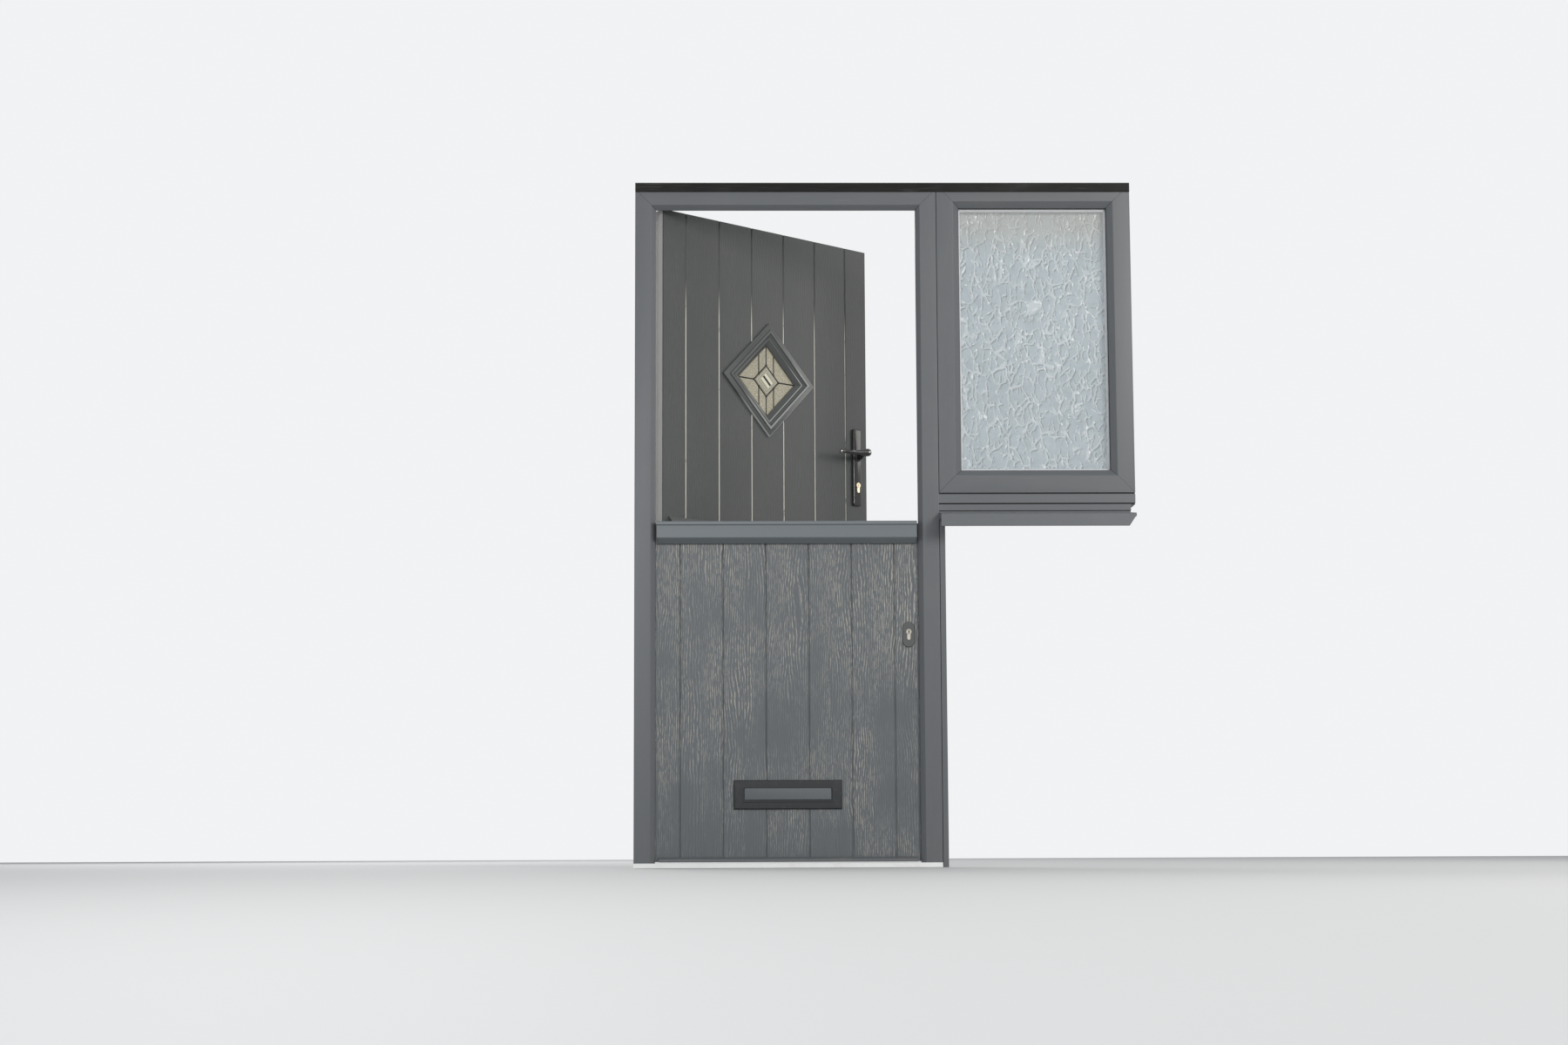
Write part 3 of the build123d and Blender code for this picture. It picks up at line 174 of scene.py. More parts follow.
class Draft:
    """A mesh in the making. Its methods that add to it give the draft itself."""

    def __init__(self) -> None:
        """Starts with nothing in it."""
        self.points: list[np.ndarray] = []
        self.faces: list[list[int]] = []
        self.count = 0

    def skin(self, rings: np.ndarray, closed: bool = False) -> "Draft":
        """Adds four-sided faces between rings of points.

        Args:
            rings: Rings by points by three.
            closed: Joins the last ring to the first.

        Returns:
            The draft itself.
        """
        rows, columns = rings.shape[:2]
        index = np.arange(rows * columns).reshape(rows, columns)
        if closed:
            index = np.vstack([index, index[:1]])
        index = np.hstack([index, index[:, :1]])
        quads = np.stack([index[:-1, :-1], index[1:, :-1], index[1:, 1:], index[:-1, 1:]], axis=-1)
        self.faces += (quads.reshape(-1, 4) + self.count).tolist()
        self.points.append(rings.reshape(-1, 3))
        self.count += rows * columns
        return self

    def cap(self, loop: np.ndarray) -> "Draft":
        """Adds one flat face.

        Args:
            loop: Its corners in order.

        Returns:
            The draft itself.
        """
        self.faces.append(list(range(self.count, self.count + len(loop))))
        self.points.append(loop)
        self.count += len(loop)
        return self

    def tube(self, rings: np.ndarray) -> "Draft":
        """Adds the skin between rings of points, and a flat face at each end."""
        return self.skin(rings).cap(rings[0]).cap(rings[-1])

    def prism(self, outline: np.ndarray, reach: float) -> "Draft":
        """Adds an outline (y, z) carried straight along x, with flat ends.

        Args:
            outline: The outline's points.
            reach: How far the run goes either side of the middle.

        Returns:
            The draft itself.
        """
        rings = np.empty((2, len(outline), 3))
        rings[..., 0] = [[-reach], [reach]]
        rings[..., 1:] = outline
        return self.tube(rings)

    def mitred(self, profile: np.ndarray, corners: np.ndarray, inward: np.ndarray,
               closed: bool = True) -> "Draft":
        """Adds a profile carried round an upright outline with mitred corners.

        A profile point (u, y) lies at corner + u * inward, at depth y, so each side stays true to
        the profile when a step inward moves every side in by one.

        Args:
            profile: Points (u, y), a closed outline.
            corners: Points (x, z) of the outline's corners.
            inward: The step (x, z) at each corner for one millimetre of u.
            closed: Whether the last side leads back to the first corner.

        Returns:
            The draft itself.
        """
        rings = upright(corners[:, None] + profile[None, :, 0, None] * inward[:, None], profile[:, 1])
        return self.skin(rings, closed=True) if closed else self.tube(rings)

    def framed(self, profile: np.ndarray, centre: Pair, half: Pair) -> "Draft":
        """Adds a profile (u, y) carried round an upright rectangle, where u leads inwards.

        Args:
            profile: The profile, a closed outline.
            centre: The rectangle's centre (x, z).
            half: Half its width and half its height.

        Returns:
            The draft itself.
        """
        return self.mitred(profile, BOX * np.array(half) + np.array(centre), -BOX)

    def plate(self, outline: np.ndarray, steps: list[Pair], centre: Pair) -> "Draft":
        """Adds an upright plate: rings of its outline, each scaled in by an inset at its own depth.

        Args:
            outline: Points (x, z) round the plate's centre.
            steps: Pairs (inset, y) from the back to the front.
            centre: The plate's centre (x, z).

        Returns:
            The draft itself.
        """
        inset, y = np.array(steps, float).T
        scale = 1 - inset[:, None] / np.abs(outline).max(axis=0)
        return self.tube(upright(outline * scale[:, None] + np.array(centre), y[:, None]))

    def lathe(self, profile: list[Pair], base: Point, axis: Point, count: int = 32) -> "Draft":
        """Adds a turned shape: at each height h along the axis a circle of radius r.

        Args:
            profile: Pairs (r, h); the first and last radius close the ends.
            base: Where h is 0.
            axis: Unit vector of the axis.
            count: Points on each circle.

        Returns:
            The draft itself.
        """
        w = np.array(axis, float)
        u = np.cross(w, [0.0, 0.0, 1.0] if abs(w[2]) < 0.9 else [1.0, 0.0, 0.0])
        v = np.cross(w, u)
        r, h = np.array(profile, float).T
        t = np.linspace(0.0, 2 * math.pi, count, endpoint=False)
        ring = np.cos(t)[:, None] * u + np.sin(t)[:, None] * v
        return self.skin(np.array(base) + r[:, None, None] * ring + h[:, None, None] * w)

    def bar(self, path: np.ndarray, halves: np.ndarray) -> "Draft":
        """Adds an oval bar along a path that runs mostly along x.

        At each path point the section is (y, z) = (a cos t, b sin t), where a and b are its
        halves; both are 0 at the ends, which closes them.

        Args:
            path: Points in order.
            halves: Half thickness a and half height b at each point.

        Returns:
            The draft itself.
        """
        t = np.linspace(0.0, 2 * math.pi, 32, endpoint=False)
        rings = np.repeat(path[:, None, :], len(t), axis=1)
        rings[..., 1:] += halves[:, None, :] * np.stack([np.cos(t), np.sin(t)], axis=-1)
        return self.skin(rings)

    def change(self, rule: Callable[[np.ndarray], np.ndarray]) -> "Draft":
        """Sends every point through a rule."""
        self.points = [rule(p) for p in self.points]
        return self

    def on(self, side: Side) -> "Draft":
        """Leaves what is drawn for the outside where it is, or puts it on the inside."""
        return self.change(mirrored) if side is Side.INSIDE else self

    def mesh(self, name: str, leaf: Leaf, sharp: float) -> bpy.types.Mesh:
        """Makes the mesh, closes its seams and turns its faces outwards.

        Args:
            name: The mesh's name.
            leaf: Position that the points are drawn in.
            sharp: Angle in degrees over which an edge stays crisp.

        Returns:
            The mesh.
        """
        points = np.concatenate(self.points)
        if leaf is Leaf.TOP:
            points = swung(points)
        mesh = bpy.data.meshes.new(name)
        mesh.from_pydata((points * MM).tolist(), [], self.faces)
        work = bmesh.new()
        work.from_mesh(mesh)
        bmesh.ops.remove_doubles(work, verts=work.verts, dist=SEAM * MM)
        bmesh.ops.recalc_face_normals(work, faces=work.faces)
        work.to_mesh(mesh)
        work.free()
        mesh.shade_smooth()
        mesh.set_sharp_from_angle(angle=math.radians(sharp))
        return mesh


def linked(name: str, data: bpy.types.ID) -> bpy.types.Object:
    """Puts a mesh, lamp or camera into the scene.

    Args:
        name: The object's name.
        data: What it shows.

    Returns:
        The object.
    """
    made = bpy.data.objects.new(name, data)
    bpy.context.scene.collection.objects.link(made)
    return made


# Shader maths


def operator(operation: str, swapped: bool = False) -> Callable[..., "Value"]:
    """Makes a method of Value that adds one Math node.

    Args:
        operation: What the node works out.
        swapped: Whether the other value comes before the value itself.

    Returns:
        The method.
    """

    def method(self: "Value", *other: object) -> "Value":
        """Adds the node on the value and, where the operation takes one, on another value or number."""
        values = (*other, self) if swapped else (self, *other)
        return self.graph.add("Math", dict(enumerate(values)), operation=operation)

    return method


class Value:
    """A node's output, with Python operators that add Math nodes.

    Fraction is what is left of the whole number below a value. Over is 1 where a value is greater
    than the other and else 0, and larger is the larger of the two.
    """

    def __init__(self, graph: "Graph", socket: bpy.types.NodeSocket) -> None:
        """Wraps a socket of a graph."""
        self.graph, self.socket = graph, socket

    __add__ = __radd__ = operator("ADD")
    __sub__ = operator("SUBTRACT")
    __rsub__ = operator("SUBTRACT", swapped=True)
    __mul__ = __rmul__ = operator("MULTIPLY")
    __truediv__ = operator("DIVIDE")
    __abs__ = operator("ABSOLUTE")
    fraction = operator("FRACT")
    whole = operator("FLOOR")
    over = operator("GREATER_THAN")
    larger = operator("MAXIMUM")
    sine = operator("SINE")

    def ramp(self, low: float, high: float) -> "Value":
        """Smooth step from 0 at low to 1 at high."""
        return self.graph.add("MapRange", {0: self, 1: low, 2: high}, interpolation_type="SMOOTHSTEP")

    def fade(self, low: float, high: float) -> "Value":
        """Smooth step from 1 at low to 0 at high."""
        return 1.0 - self.ramp(low, high)

    def near(self, low: float, high: float) -> "Value":
        """1 where its size without sign is under low, falling to 0 at high."""
        return abs(self).fade(low, high)


class Graph:
    """The node tree of a material or of the world."""

    def __init__(self, owner: bpy.types.ID, output: str = "OutputMaterial") -> None:
        """Empties a tree and gives it an output.

        Args:
            owner: The material or world.
            output: Type of its output node.
        """
        owner.use_nodes = True
        self.owner, self.tree = owner, owner.node_tree
        self.tree.nodes.clear()
        self.output = self.tree.nodes.new("ShaderNode" + output)

    def add(self, kind: str, inputs: dict | None = None, output: int | str = 0,
            **settings: object) -> Value:
        """Adds a node.

        Args:
            kind: The node's type, without the words ShaderNode.
            inputs: Socket name or number to a number, a tuple or a Value.
            output: The output wanted.
            settings: The node's own settings, which are set first.

        Returns:
            That output.
        """
        node = self.tree.nodes.new("ShaderNode" + kind)
        for key, value in settings.items():
            setattr(node, key, value)
        for key, value in (inputs or {}).items():
            if isinstance(value, Value):
                self.tree.links.new(value.socket, node.inputs[key])
            else:
                node.inputs[key].default_value = value
        return Value(self, node.outputs[output])

    def position(self, leaf: Leaf = Leaf.STANDING) -> Value:
        """Object coordinates, turned back to the closed position for the top leaf.

        Args:
            leaf: Position that a pattern follows.

        Returns:
            The coordinates.
        """
        here = self.add("TexCoord", output="Object")
        if leaf is Leaf.STANDING:
            return here
        x, y = HINGE_X * MM, HINGE_Y * MM
        offset = (x - (OPEN_COS * x + OPEN_SIN * y), y - (-OPEN_SIN * x + OPEN_COS * y), 0.0)
        return self.add("Mapping", {"Vector": here, "Location": offset,
                                    "Rotation": (0.0, 0.0, -OPEN_ANGLE)})

    def vector(self, x: Value, y: Value, z: Value) -> Value:
        """A vector of three numbers."""
        return self.add("CombineXYZ", {0: x, 1: y, 2: z})

    def axes(self, vector: Value) -> tuple[Value, ...]:
        """The three numbers of a vector."""
        node = self.add("SeparateXYZ", {0: vector}).socket.node
        return tuple(Value(self, out) for out in node.outputs)

    def noise(self, vector: Value, scale: float, detail: float = 3.0, rough: float = 0.5,
              warp: float = 0.0, output: int | str = 0) -> Value:
        """Cloudy noise from 0 to 1."""
        return self.add("TexNoise", {"Vector": vector, "Scale": scale, "Detail": detail,
                                     "Roughness": rough, "Distortion": warp}, output)

    def stretched(self, vector: Value, scale: Point) -> Value:
        """A vector scaled along each axis."""
        return self.add("Mapping", {"Vector": vector, "Scale": scale})

    def streaks(self, vector: Value, scale: Point, detail: float = 3.0, rough: float = 0.6,
                warp: float = 0.0) -> Value:
        """Noise with a scale of its own along each axis."""
        return self.noise(self.stretched(vector, scale), 1.0, detail, rough, warp)

    def cells(self, vector: Value, scale: float, feature: str = "F1") -> Value:
        """Distance to the nearest scattered point, or to the nearest cell edge."""
        return self.add("TexVoronoi", {"Vector": vector, "Scale": scale}, feature=feature)

    def blend(self, factor: Value, first: Value | Colour, second: Value | Colour) -> Value:
        """A colour between two colours.

        Args:
            factor: Share of the second colour.
            first: The first colour.
            second: The second colour.

        Returns:
            The colour.
        """
        inputs = {0: factor}
        for key, colour in ((6, first), (7, second)):
            inputs[key] = colour if isinstance(colour, Value) else (*colour, 1.0)
        return self.add("Mix", inputs, 2, data_type="RGBA")

    def relief(self, height: Value, depth_mm: float, strength: float) -> Value:
        """A normal bent by a height from 0 to 1, as deep as given."""
        return self.add("Bump", {"Height": height, "Distance": depth_mm * MM, "Strength": strength})

    def shader(self, base_color: Value | Colour, **inputs: object) -> Value:
        """A Principled surface.

        Args:
            base_color: Its colour.
            inputs: Its other sockets by name, with _ for each space.

        Returns:
            Its output.
        """
        sockets = {key.replace("_", " ").title().replace("Ior", "IOR"): value
                   for key, value in inputs.items()}
        sockets["Base Color"] = base_color if isinstance(base_color, Value) else (*base_color, 1.0)
        return self.add("BsdfPrincipled", sockets)

    def end(self, shader: Value) -> bpy.types.ID:
        """Ends the graph in a shader and gives back what the graph belongs to."""
        self.tree.links.new(shader.socket, self.output.inputs["Surface"])
        return self.owner

    def surface(self, base_color: Value, **inputs: object) -> bpy.types.Material:
        """Ends the graph in one Principled surface, with inputs as for shader."""
        return self.end(self.shader(base_color, **inputs))


# Finishes


def scaled(numbers: tuple[float, ...], factor: float) -> tuple[float, ...]:
    """Numbers times a factor, such as a colour made lighter or darker."""
    return tuple(number * factor for number in numbers)


@dataclass(frozen=True)
class Finish:
    """A material of the door. Each kind has a build method that makes it.

    Args:
        name: Its name.
        colour: Its main colour.
        leaf: Position that its pattern follows.
    """

    name: str
    colour: Colour
    leaf: Leaf = field(default=Leaf.STANDING, kw_only=True)

    def start(self) -> tuple[Graph, Value]:
        """The new material's graph, and the coordinates that its pattern follows."""
        g = Graph(bpy.data.materials.new(self.name))
        return g, g.position(self.leaf)


@dataclass(frozen=True)
class BoardSkin(Finish):
    """A moulded leaf skin: upright wood grain with dust in it, and painted shade in the upper joints.

    Args:
        streak: Colour of the dust that lies in the grain.
        dust: Share of the streak colour in the grain.
        joint: Share of the groove colour along the grooves below the shade height.
        joint_dust_and_highlight_colour: Groove colour below the shade height. It is dust, except on the top
            leaf's outside, where it is a painted highlight of sun caught in the grooves.
        joint_shade_height: Height in metres above which the grooves are painted dark as shade.
        rise: How much more dust there is for each metre up.
        board: Width of a board in metres.
        grain: Radians of the grain's wave for each metre across.
        bends: How far, in radians of that wave, long and short noise bend it.
    """

    streak: Colour
    dust: float
    joint: float
    joint_dust_and_highlight_colour: Colour
    joint_shade_height: float
    rise: float = 0.0
    board: float = 0.1293
    grain: float = 980.0
    bends: Pair = (74.0, 9.0)

    def build(self) -> bpy.types.Material:
        """Makes the material.

        The grain is a run of lines along z whose distance across wanders with stretched noise,
        moved for each board, and broken into dashes by a second, shorter noise.

        Returns:
            The material.
        """
        g, p = self.start()
        x, y, z = g.axes(p)
        board = x / self.board + 20.0
        own = board.whole()
        here = g.vector(x + own * 0.37, y, z + own * 1.71)
        wander = g.streaks(here, (8.0, 1.0, 1.9), 2.0, 0.5)
        ripple = g.streaks(here, (34.0, 1.0, 17.0), 2.0, 0.5)
        lines = (x * self.grain + wander * self.bends[0] + ripple * self.bends[1]).sine() * 0.5 + 0.5
        dash = g.streaks(here, (420.0, 20.0, 52.0), warp=0.4)
        pore = g.streaks(here, (620.0, 20.0, 22.0), 2.0)
        patch = g.streaks(here, (9.0, 1.0, 2.2), 4.0, 0.62)
        cloud = g.noise(p, 3.4, 3.0, 0.55)
        ridge = lines.ramp(0.50, 0.98) * dash.ramp(0.42, 0.58)
        where = patch * 0.62 + cloud * 0.38 + (z - 0.5) * self.rise
        dusty = ridge * where.ramp(0.38, 0.62) * self.dust
        dusty = dusty + pore.ramp(0.58, 0.70) * where.ramp(0.36, 0.60) * self.dust * 0.40
        shade = g.blend(lines * 0.30 + pore * 0.25, scaled(self.colour, 0.84), scaled(self.colour, 1.22))
        shade = g.blend(cloud.ramp(0.3, 0.8) * 0.35, shade, scaled(self.colour, 1.18))
        body = g.blend(dusty, shade, self.streak)
        groove = (abs(board.fraction() - 0.5) * self.board).fade(0.0008, 0.0015)
        lower_joints = z.fade(self.joint_shade_height - 0.12, self.joint_shade_height + 0.02)
        broken = g.streaks(p, (20.0, 1.0, 26.0)).ramp(0.28, 0.42)
        # Painted shade in the grooves above the shade height. Below it the grooves take the set colour: dust
        # on most skins, and a painted highlight on the top leaf's outside.
        body = g.blend(groove * 0.55 * (1.0 - lower_joints), body, NEAR_BLACK)
        body = g.blend(groove * broken * lower_joints * self.joint, body, self.joint_dust_and_highlight_colour)
        height = lines * 0.35 + dash * 0.35 + pore * 0.3
        return g.surface(body, roughness=pore * 0.14 + 0.34 + dusty * 0.2, specular_ior_level=0.45,
                         normal=g.relief(height, 0.45, 0.6))


@dataclass(frozen=True)
class GrainedFoil(Finish):
    """Foil on a profile: fine grain along each member, a weld line at each mitre, white behind.

    Args:
        split: Depth in metres behind which the profile is bare.
        centre: Centre (x, z) of the outline that the members follow, in metres.
        half: Half width and half height of that outline, in metres.
        top_only: Whether only the upper corners are mitred.
        shine: Strength of its gloss.
        painted_shade_gaps: Heights in metres, in pairs, of each shadow gap, painted near black as shade.
    """

    split: float
    centre: Pair
    half: Pair
    top_only: bool = False
    shine: float = 0.5
    painted_shade_gaps: tuple[Pair, ...] = ()

    def build(self) -> bpy.types.Material:
        """Makes the material.

        The way in from a side is the half width less |x|, or the half height less |z|, both from
        the centre. Where the two are equal lies the mitre, and on either side of it the grain
        turns.

        Returns:
            The material.
        """
        g, p = self.start()
        x, y, z = g.axes(p)
        up = z - self.centre[1]
        u = self.half[0] - abs(x - self.centre[0])
        w = self.half[1] - (up if self.top_only else abs(up))
        level = (u - w).ramp(-0.0004, 0.0004)
        weld = (u - w).near(0.0004, 0.0012) * (1.0 - u.over(0.075))
        grain_z = g.streaks(p, (420.0, 200.0, 9.0), 4.0, warp=0.4)
        grain_x = g.streaks(p, (9.0, 200.0, 420.0), 4.0, warp=0.4)
        grain = grain_z * (1.0 - level) + grain_x * level
        soft = g.noise(p, 3.1, 3.0, 0.6)
        dusty = grain.ramp(0.56, 0.78) * 0.30 + soft.ramp(0.45, 0.8) * 0.10
        foil = g.blend(dusty, self.colour, (0.235, 0.225, 0.205))
        foil = g.blend(weld * 0.95, foil, NEAR_BLACK)
        # Painted shade: each shadow gap is darkened to near black.
        for low, high in self.painted_shade_gaps:
            inside = z.ramp(low - 0.0006, low) * z.fade(high, high + 0.0006)
            foil = g.blend(inside * 0.9, foil, (0.014, 0.014, 0.014))
        bare = y.ramp(self.split - 0.0002, self.split + 0.0002)
        plain = g.blend(soft.ramp(0.4, 0.85) * 0.25, WHITE, scaled(WHITE, 0.86))
        height = grain * 0.5 * (1.0 - bare) - weld
        return g.surface(g.blend(bare, foil, plain), roughness=grain * 0.12 + 0.33,
                         normal=g.relief(height, 0.25, 0.5), specular_ior_level=self.shine)


@dataclass(frozen=True)
class SmoothPlastic(Finish):
    """Smooth moulded or extruded plastic with faint unevenness and grime.

    Args:
        rough: Roughness.
        grime: Share of dirt.
        dirt: Colour of the dirt.
    """

    rough: float
    grime: float
    dirt: Colour = (0.30, 0.27, 0.22)

    def build(self) -> bpy.types.Material:
        """Makes the material.

        Returns:
            The material.
        """
        g, p = self.start()
        cloud = g.noise(p, 9.0, 5.0, 0.65)
        speck = g.noise(p, 260.0, 2.0)
        wipe = g.streaks(p, (2.0, 20.0, 40.0))
        dirty = (cloud.ramp(0.5, 0.85) * 0.6 + speck.ramp(0.62, 0.8) * 0.4) * self.grime
        return g.surface(g.blend(dirty, self.colour, self.dirt),
                         roughness=wipe * 0.12 + (self.rough - 0.06) + dirty * 0.4,
                         normal=g.relief(speck * 0.4 + wipe * 0.6, 0.06, 0.5))


@dataclass(frozen=True)
class SteppedMoulding(Finish):
    """Plastic of the diamond's moulding: painted highlights along its arrises, painted shade in its steps.

    Args:
        painted_highlight: Colour of the painted highlights on the arrises.
        edges: Ways in from the outer edge at which a highlight is painted, in metres.
        steps: Ways in at which a step is painted dark as shade, in metres.
    """

    painted_highlight: Colour
    edges: tuple[float, ...] = (0.0009, 0.0178, 0.0216, 0.0349)
    steps: tuple[float, ...] = (0.0150, 0.0242, 0.0326)

    def build(self) -> bpy.types.Material:
        """Makes the material.

        The way in from the outer edge is (half - |x| - |z - height|) / sqrt 2. The painted highlights
        are stronger on the lower sides than on the upper ones, as the light fell.

        Returns:
            The material.
        """
        g, p = self.start()
        x, _, z = g.axes(p)
        up = z - DIAMOND_HEIGHT * MM
        inward = (DIAMOND_HALF * MM - abs(x) - abs(up)) * math.sqrt(0.5)
        # low leans the painted highlights to the lower and right-hand sides, where the light fell.
        low = (up - x * 0.6).fade(-0.05, 0.03)
        edges, steps = 0.0, 0.0
        for at in self.edges:
            edges = (inward - at).near(0.0005, 0.0016).larger(edges)
        for at in self.steps:
            steps = (inward - at).near(0.0003, 0.0012).larger(steps)
        cloud = g.noise(p, 22.0, 4.0, 0.6)
        speck = g.noise(p, 300.0, 2.0)
        body = g.blend(cloud.ramp(0.4, 0.8) * 0.2, self.colour, scaled(self.colour, 1.25))
        # Painted shade in the steps, then painted highlights on the arrises.
        body = g.blend(steps * 0.75, body, (0.016, 0.017, 0.018))
        body = g.blend(edges * (low * 0.80 + 0.10) * (0.7 + speck * 0.4), body, self.painted_highlight)
        return g.surface(body, roughness=cloud * 0.10 + 0.24, normal=g.relief(speck, 0.04, 0.4))


@dataclass(frozen=True)
class Metal(Finish):
    """Bare or plated metal with fine brushing and dull patches.

    Args:
        rough: Roughness.
        brush: Stretch of the brushing along each axis; a low number draws it out.
        tarnish: Share of the dull colour.
        dull: Dull colour.
        keyway: Height in metres of the middle of a keyway on the lock's line, or 0 for none.
    """

    rough: float
    brush: Point = (900.0, 900.0, 30.0)
    tarnish: float = 0.25
    dull: Colour = (0.22, 0.20, 0.17)
    keyway: float = 0.0

    def build(self) -> bpy.types.Material:
        """Makes the material.

        Returns:
            The material.
        """
        g, p = self.start()
        line = g.streaks(p, self.brush, 2.0)
        worn = g.noise(p, 45.0, 4.0, 0.6).ramp(0.5, 0.8) * self.tarnish
        body, bare = g.blend(worn, self.colour, self.dull), 1.0 - worn * 0.5
        if self.keyway:
            # Painted shade where the keyway and the gap round the plug are.
            dark = self.keyway_shade(g, p)
            body = g.blend(dark, body, (0.02, 0.017, 0.012))
            bare = bare * (1.0 - dark)
        return g.surface(body, metallic=bare, roughness=line * 0.14 + (self.rough - 0.05) + worn * 0.3,
                         normal=g.relief(line, 0.03, 0.4))

    def keyway_shade(self, g: Graph, p: Value) -> Value:
        """Painted shade of a keyway: dark slot with a side step, and a thin dark ring round the plug.

        Args:
            g: The material's graph.
            p: Coordinates.

        Returns:
            1 where it is dark, 0 elsewhere.
        """
        x, _, z = g.axes(p)
        side, up = x - LOCK_X * MM, z - self.keyway
        slot = side.near(0.0010, 0.0014) * up.near(0.0042, 0.0046)
        step = (side - 0.0016).near(0.0010, 0.0013) * (up - 0.001).near(0.0012, 0.0015)
        away = side * side + up * up
        ring = away.ramp(0.0000455, 0.0000490) - away.ramp(0.0000560, 0.0000600)
        return slot.larger(step).larger(ring * 0.8)


@dataclass(frozen=True)
class GlossPaint(Finish):
    """Hard gloss paint over metal, with a slight ripple, dust and rubbed spots.

    Args:
        rough: Roughness.
        coat: Share of clear gloss on it.
    """

    rough: float
    coat: float = 0.6

    def build(self) -> bpy.types.Material:
        """Makes the material.

        Returns:
            The material.
        """
        g, p = self.start()
        ripple = g.noise(p, 320.0, 2.0)
        smear = g.noise(p, 38.0, 4.0, 0.65)
        dusty = smear.ramp(0.5, 0.85) * 0.10
        return g.surface(g.blend(dusty, self.colour, (0.25, 0.24, 0.22)),
                         roughness=smear * 0.16 + (self.rough - 0.05), coat_weight=self.coat,
                         coat_roughness=0.05, specular_ior_level=0.3 + self.coat * 0.3,
                         normal=g.relief(ripple, 0.03, 0.3))


@dataclass(frozen=True)
class PaintedGlintLever(Finish):
    """Dark plating of a lever, with painted highlights at its tip, its thick end and its upper side.

    Args:
        bright: Colour of the painted highlights.
        tip: Where the tip starts along the leaf, in metres.
        head: Where the painted highlight on the thick end starts along the leaf, in metres.
        top: Height at which the painted highlight on the upper side starts, in metres.
    """

    bright: Colour
    tip: float = 0.264
    head: float = 0.380
    top: float = 1.330

    def build(self) -> bpy.types.Material:
        """Makes the material.

        Returns:
            The material.
        """
        g, p = self.start()
        x, _, z = g.axes(p)
        patch = g.noise(p, 140.0, 3.0, 0.6)
        smear = g.noise(p, 40.0, 3.0, 0.6)
        # Painted highlights at the tip and the thick end, and in patches along the upper side.
        ends = x.fade(self.tip - 0.003, self.tip + 0.002).larger(x.ramp(self.head, self.head + 0.007))
        upper = z.ramp(self.top, self.top + 0.010) * 0.5
        painted_highlight = (ends + upper * smear.ramp(0.50, 0.62)) * patch.ramp(0.38, 0.60) * 0.8
        return g.surface(g.blend(painted_highlight, self.colour, self.bright), metallic=0.85,
                         roughness=smear * 0.12 + 0.06, normal=g.relief(patch, 0.02, 0.3))


@dataclass(frozen=True)
class SoftRubber(Finish):
    """Matt black rubber with a bloom."""

    def build(self) -> bpy.types.Material:
        """Makes the material.

        Returns:
            The material.
        """
        g, p = self.start()
        bloom = g.noise(p, 30.0, 4.0, 0.6)
        grit = g.noise(p, 700.0, 2.0)
        return g.surface(g.blend(bloom.ramp(0.45, 0.8) * 0.3, self.colour, (0.09, 0.09, 0.088)),
                         roughness=bloom * 0.2 + 0.6, normal=g.relief(grit, 0.05, 0.6))


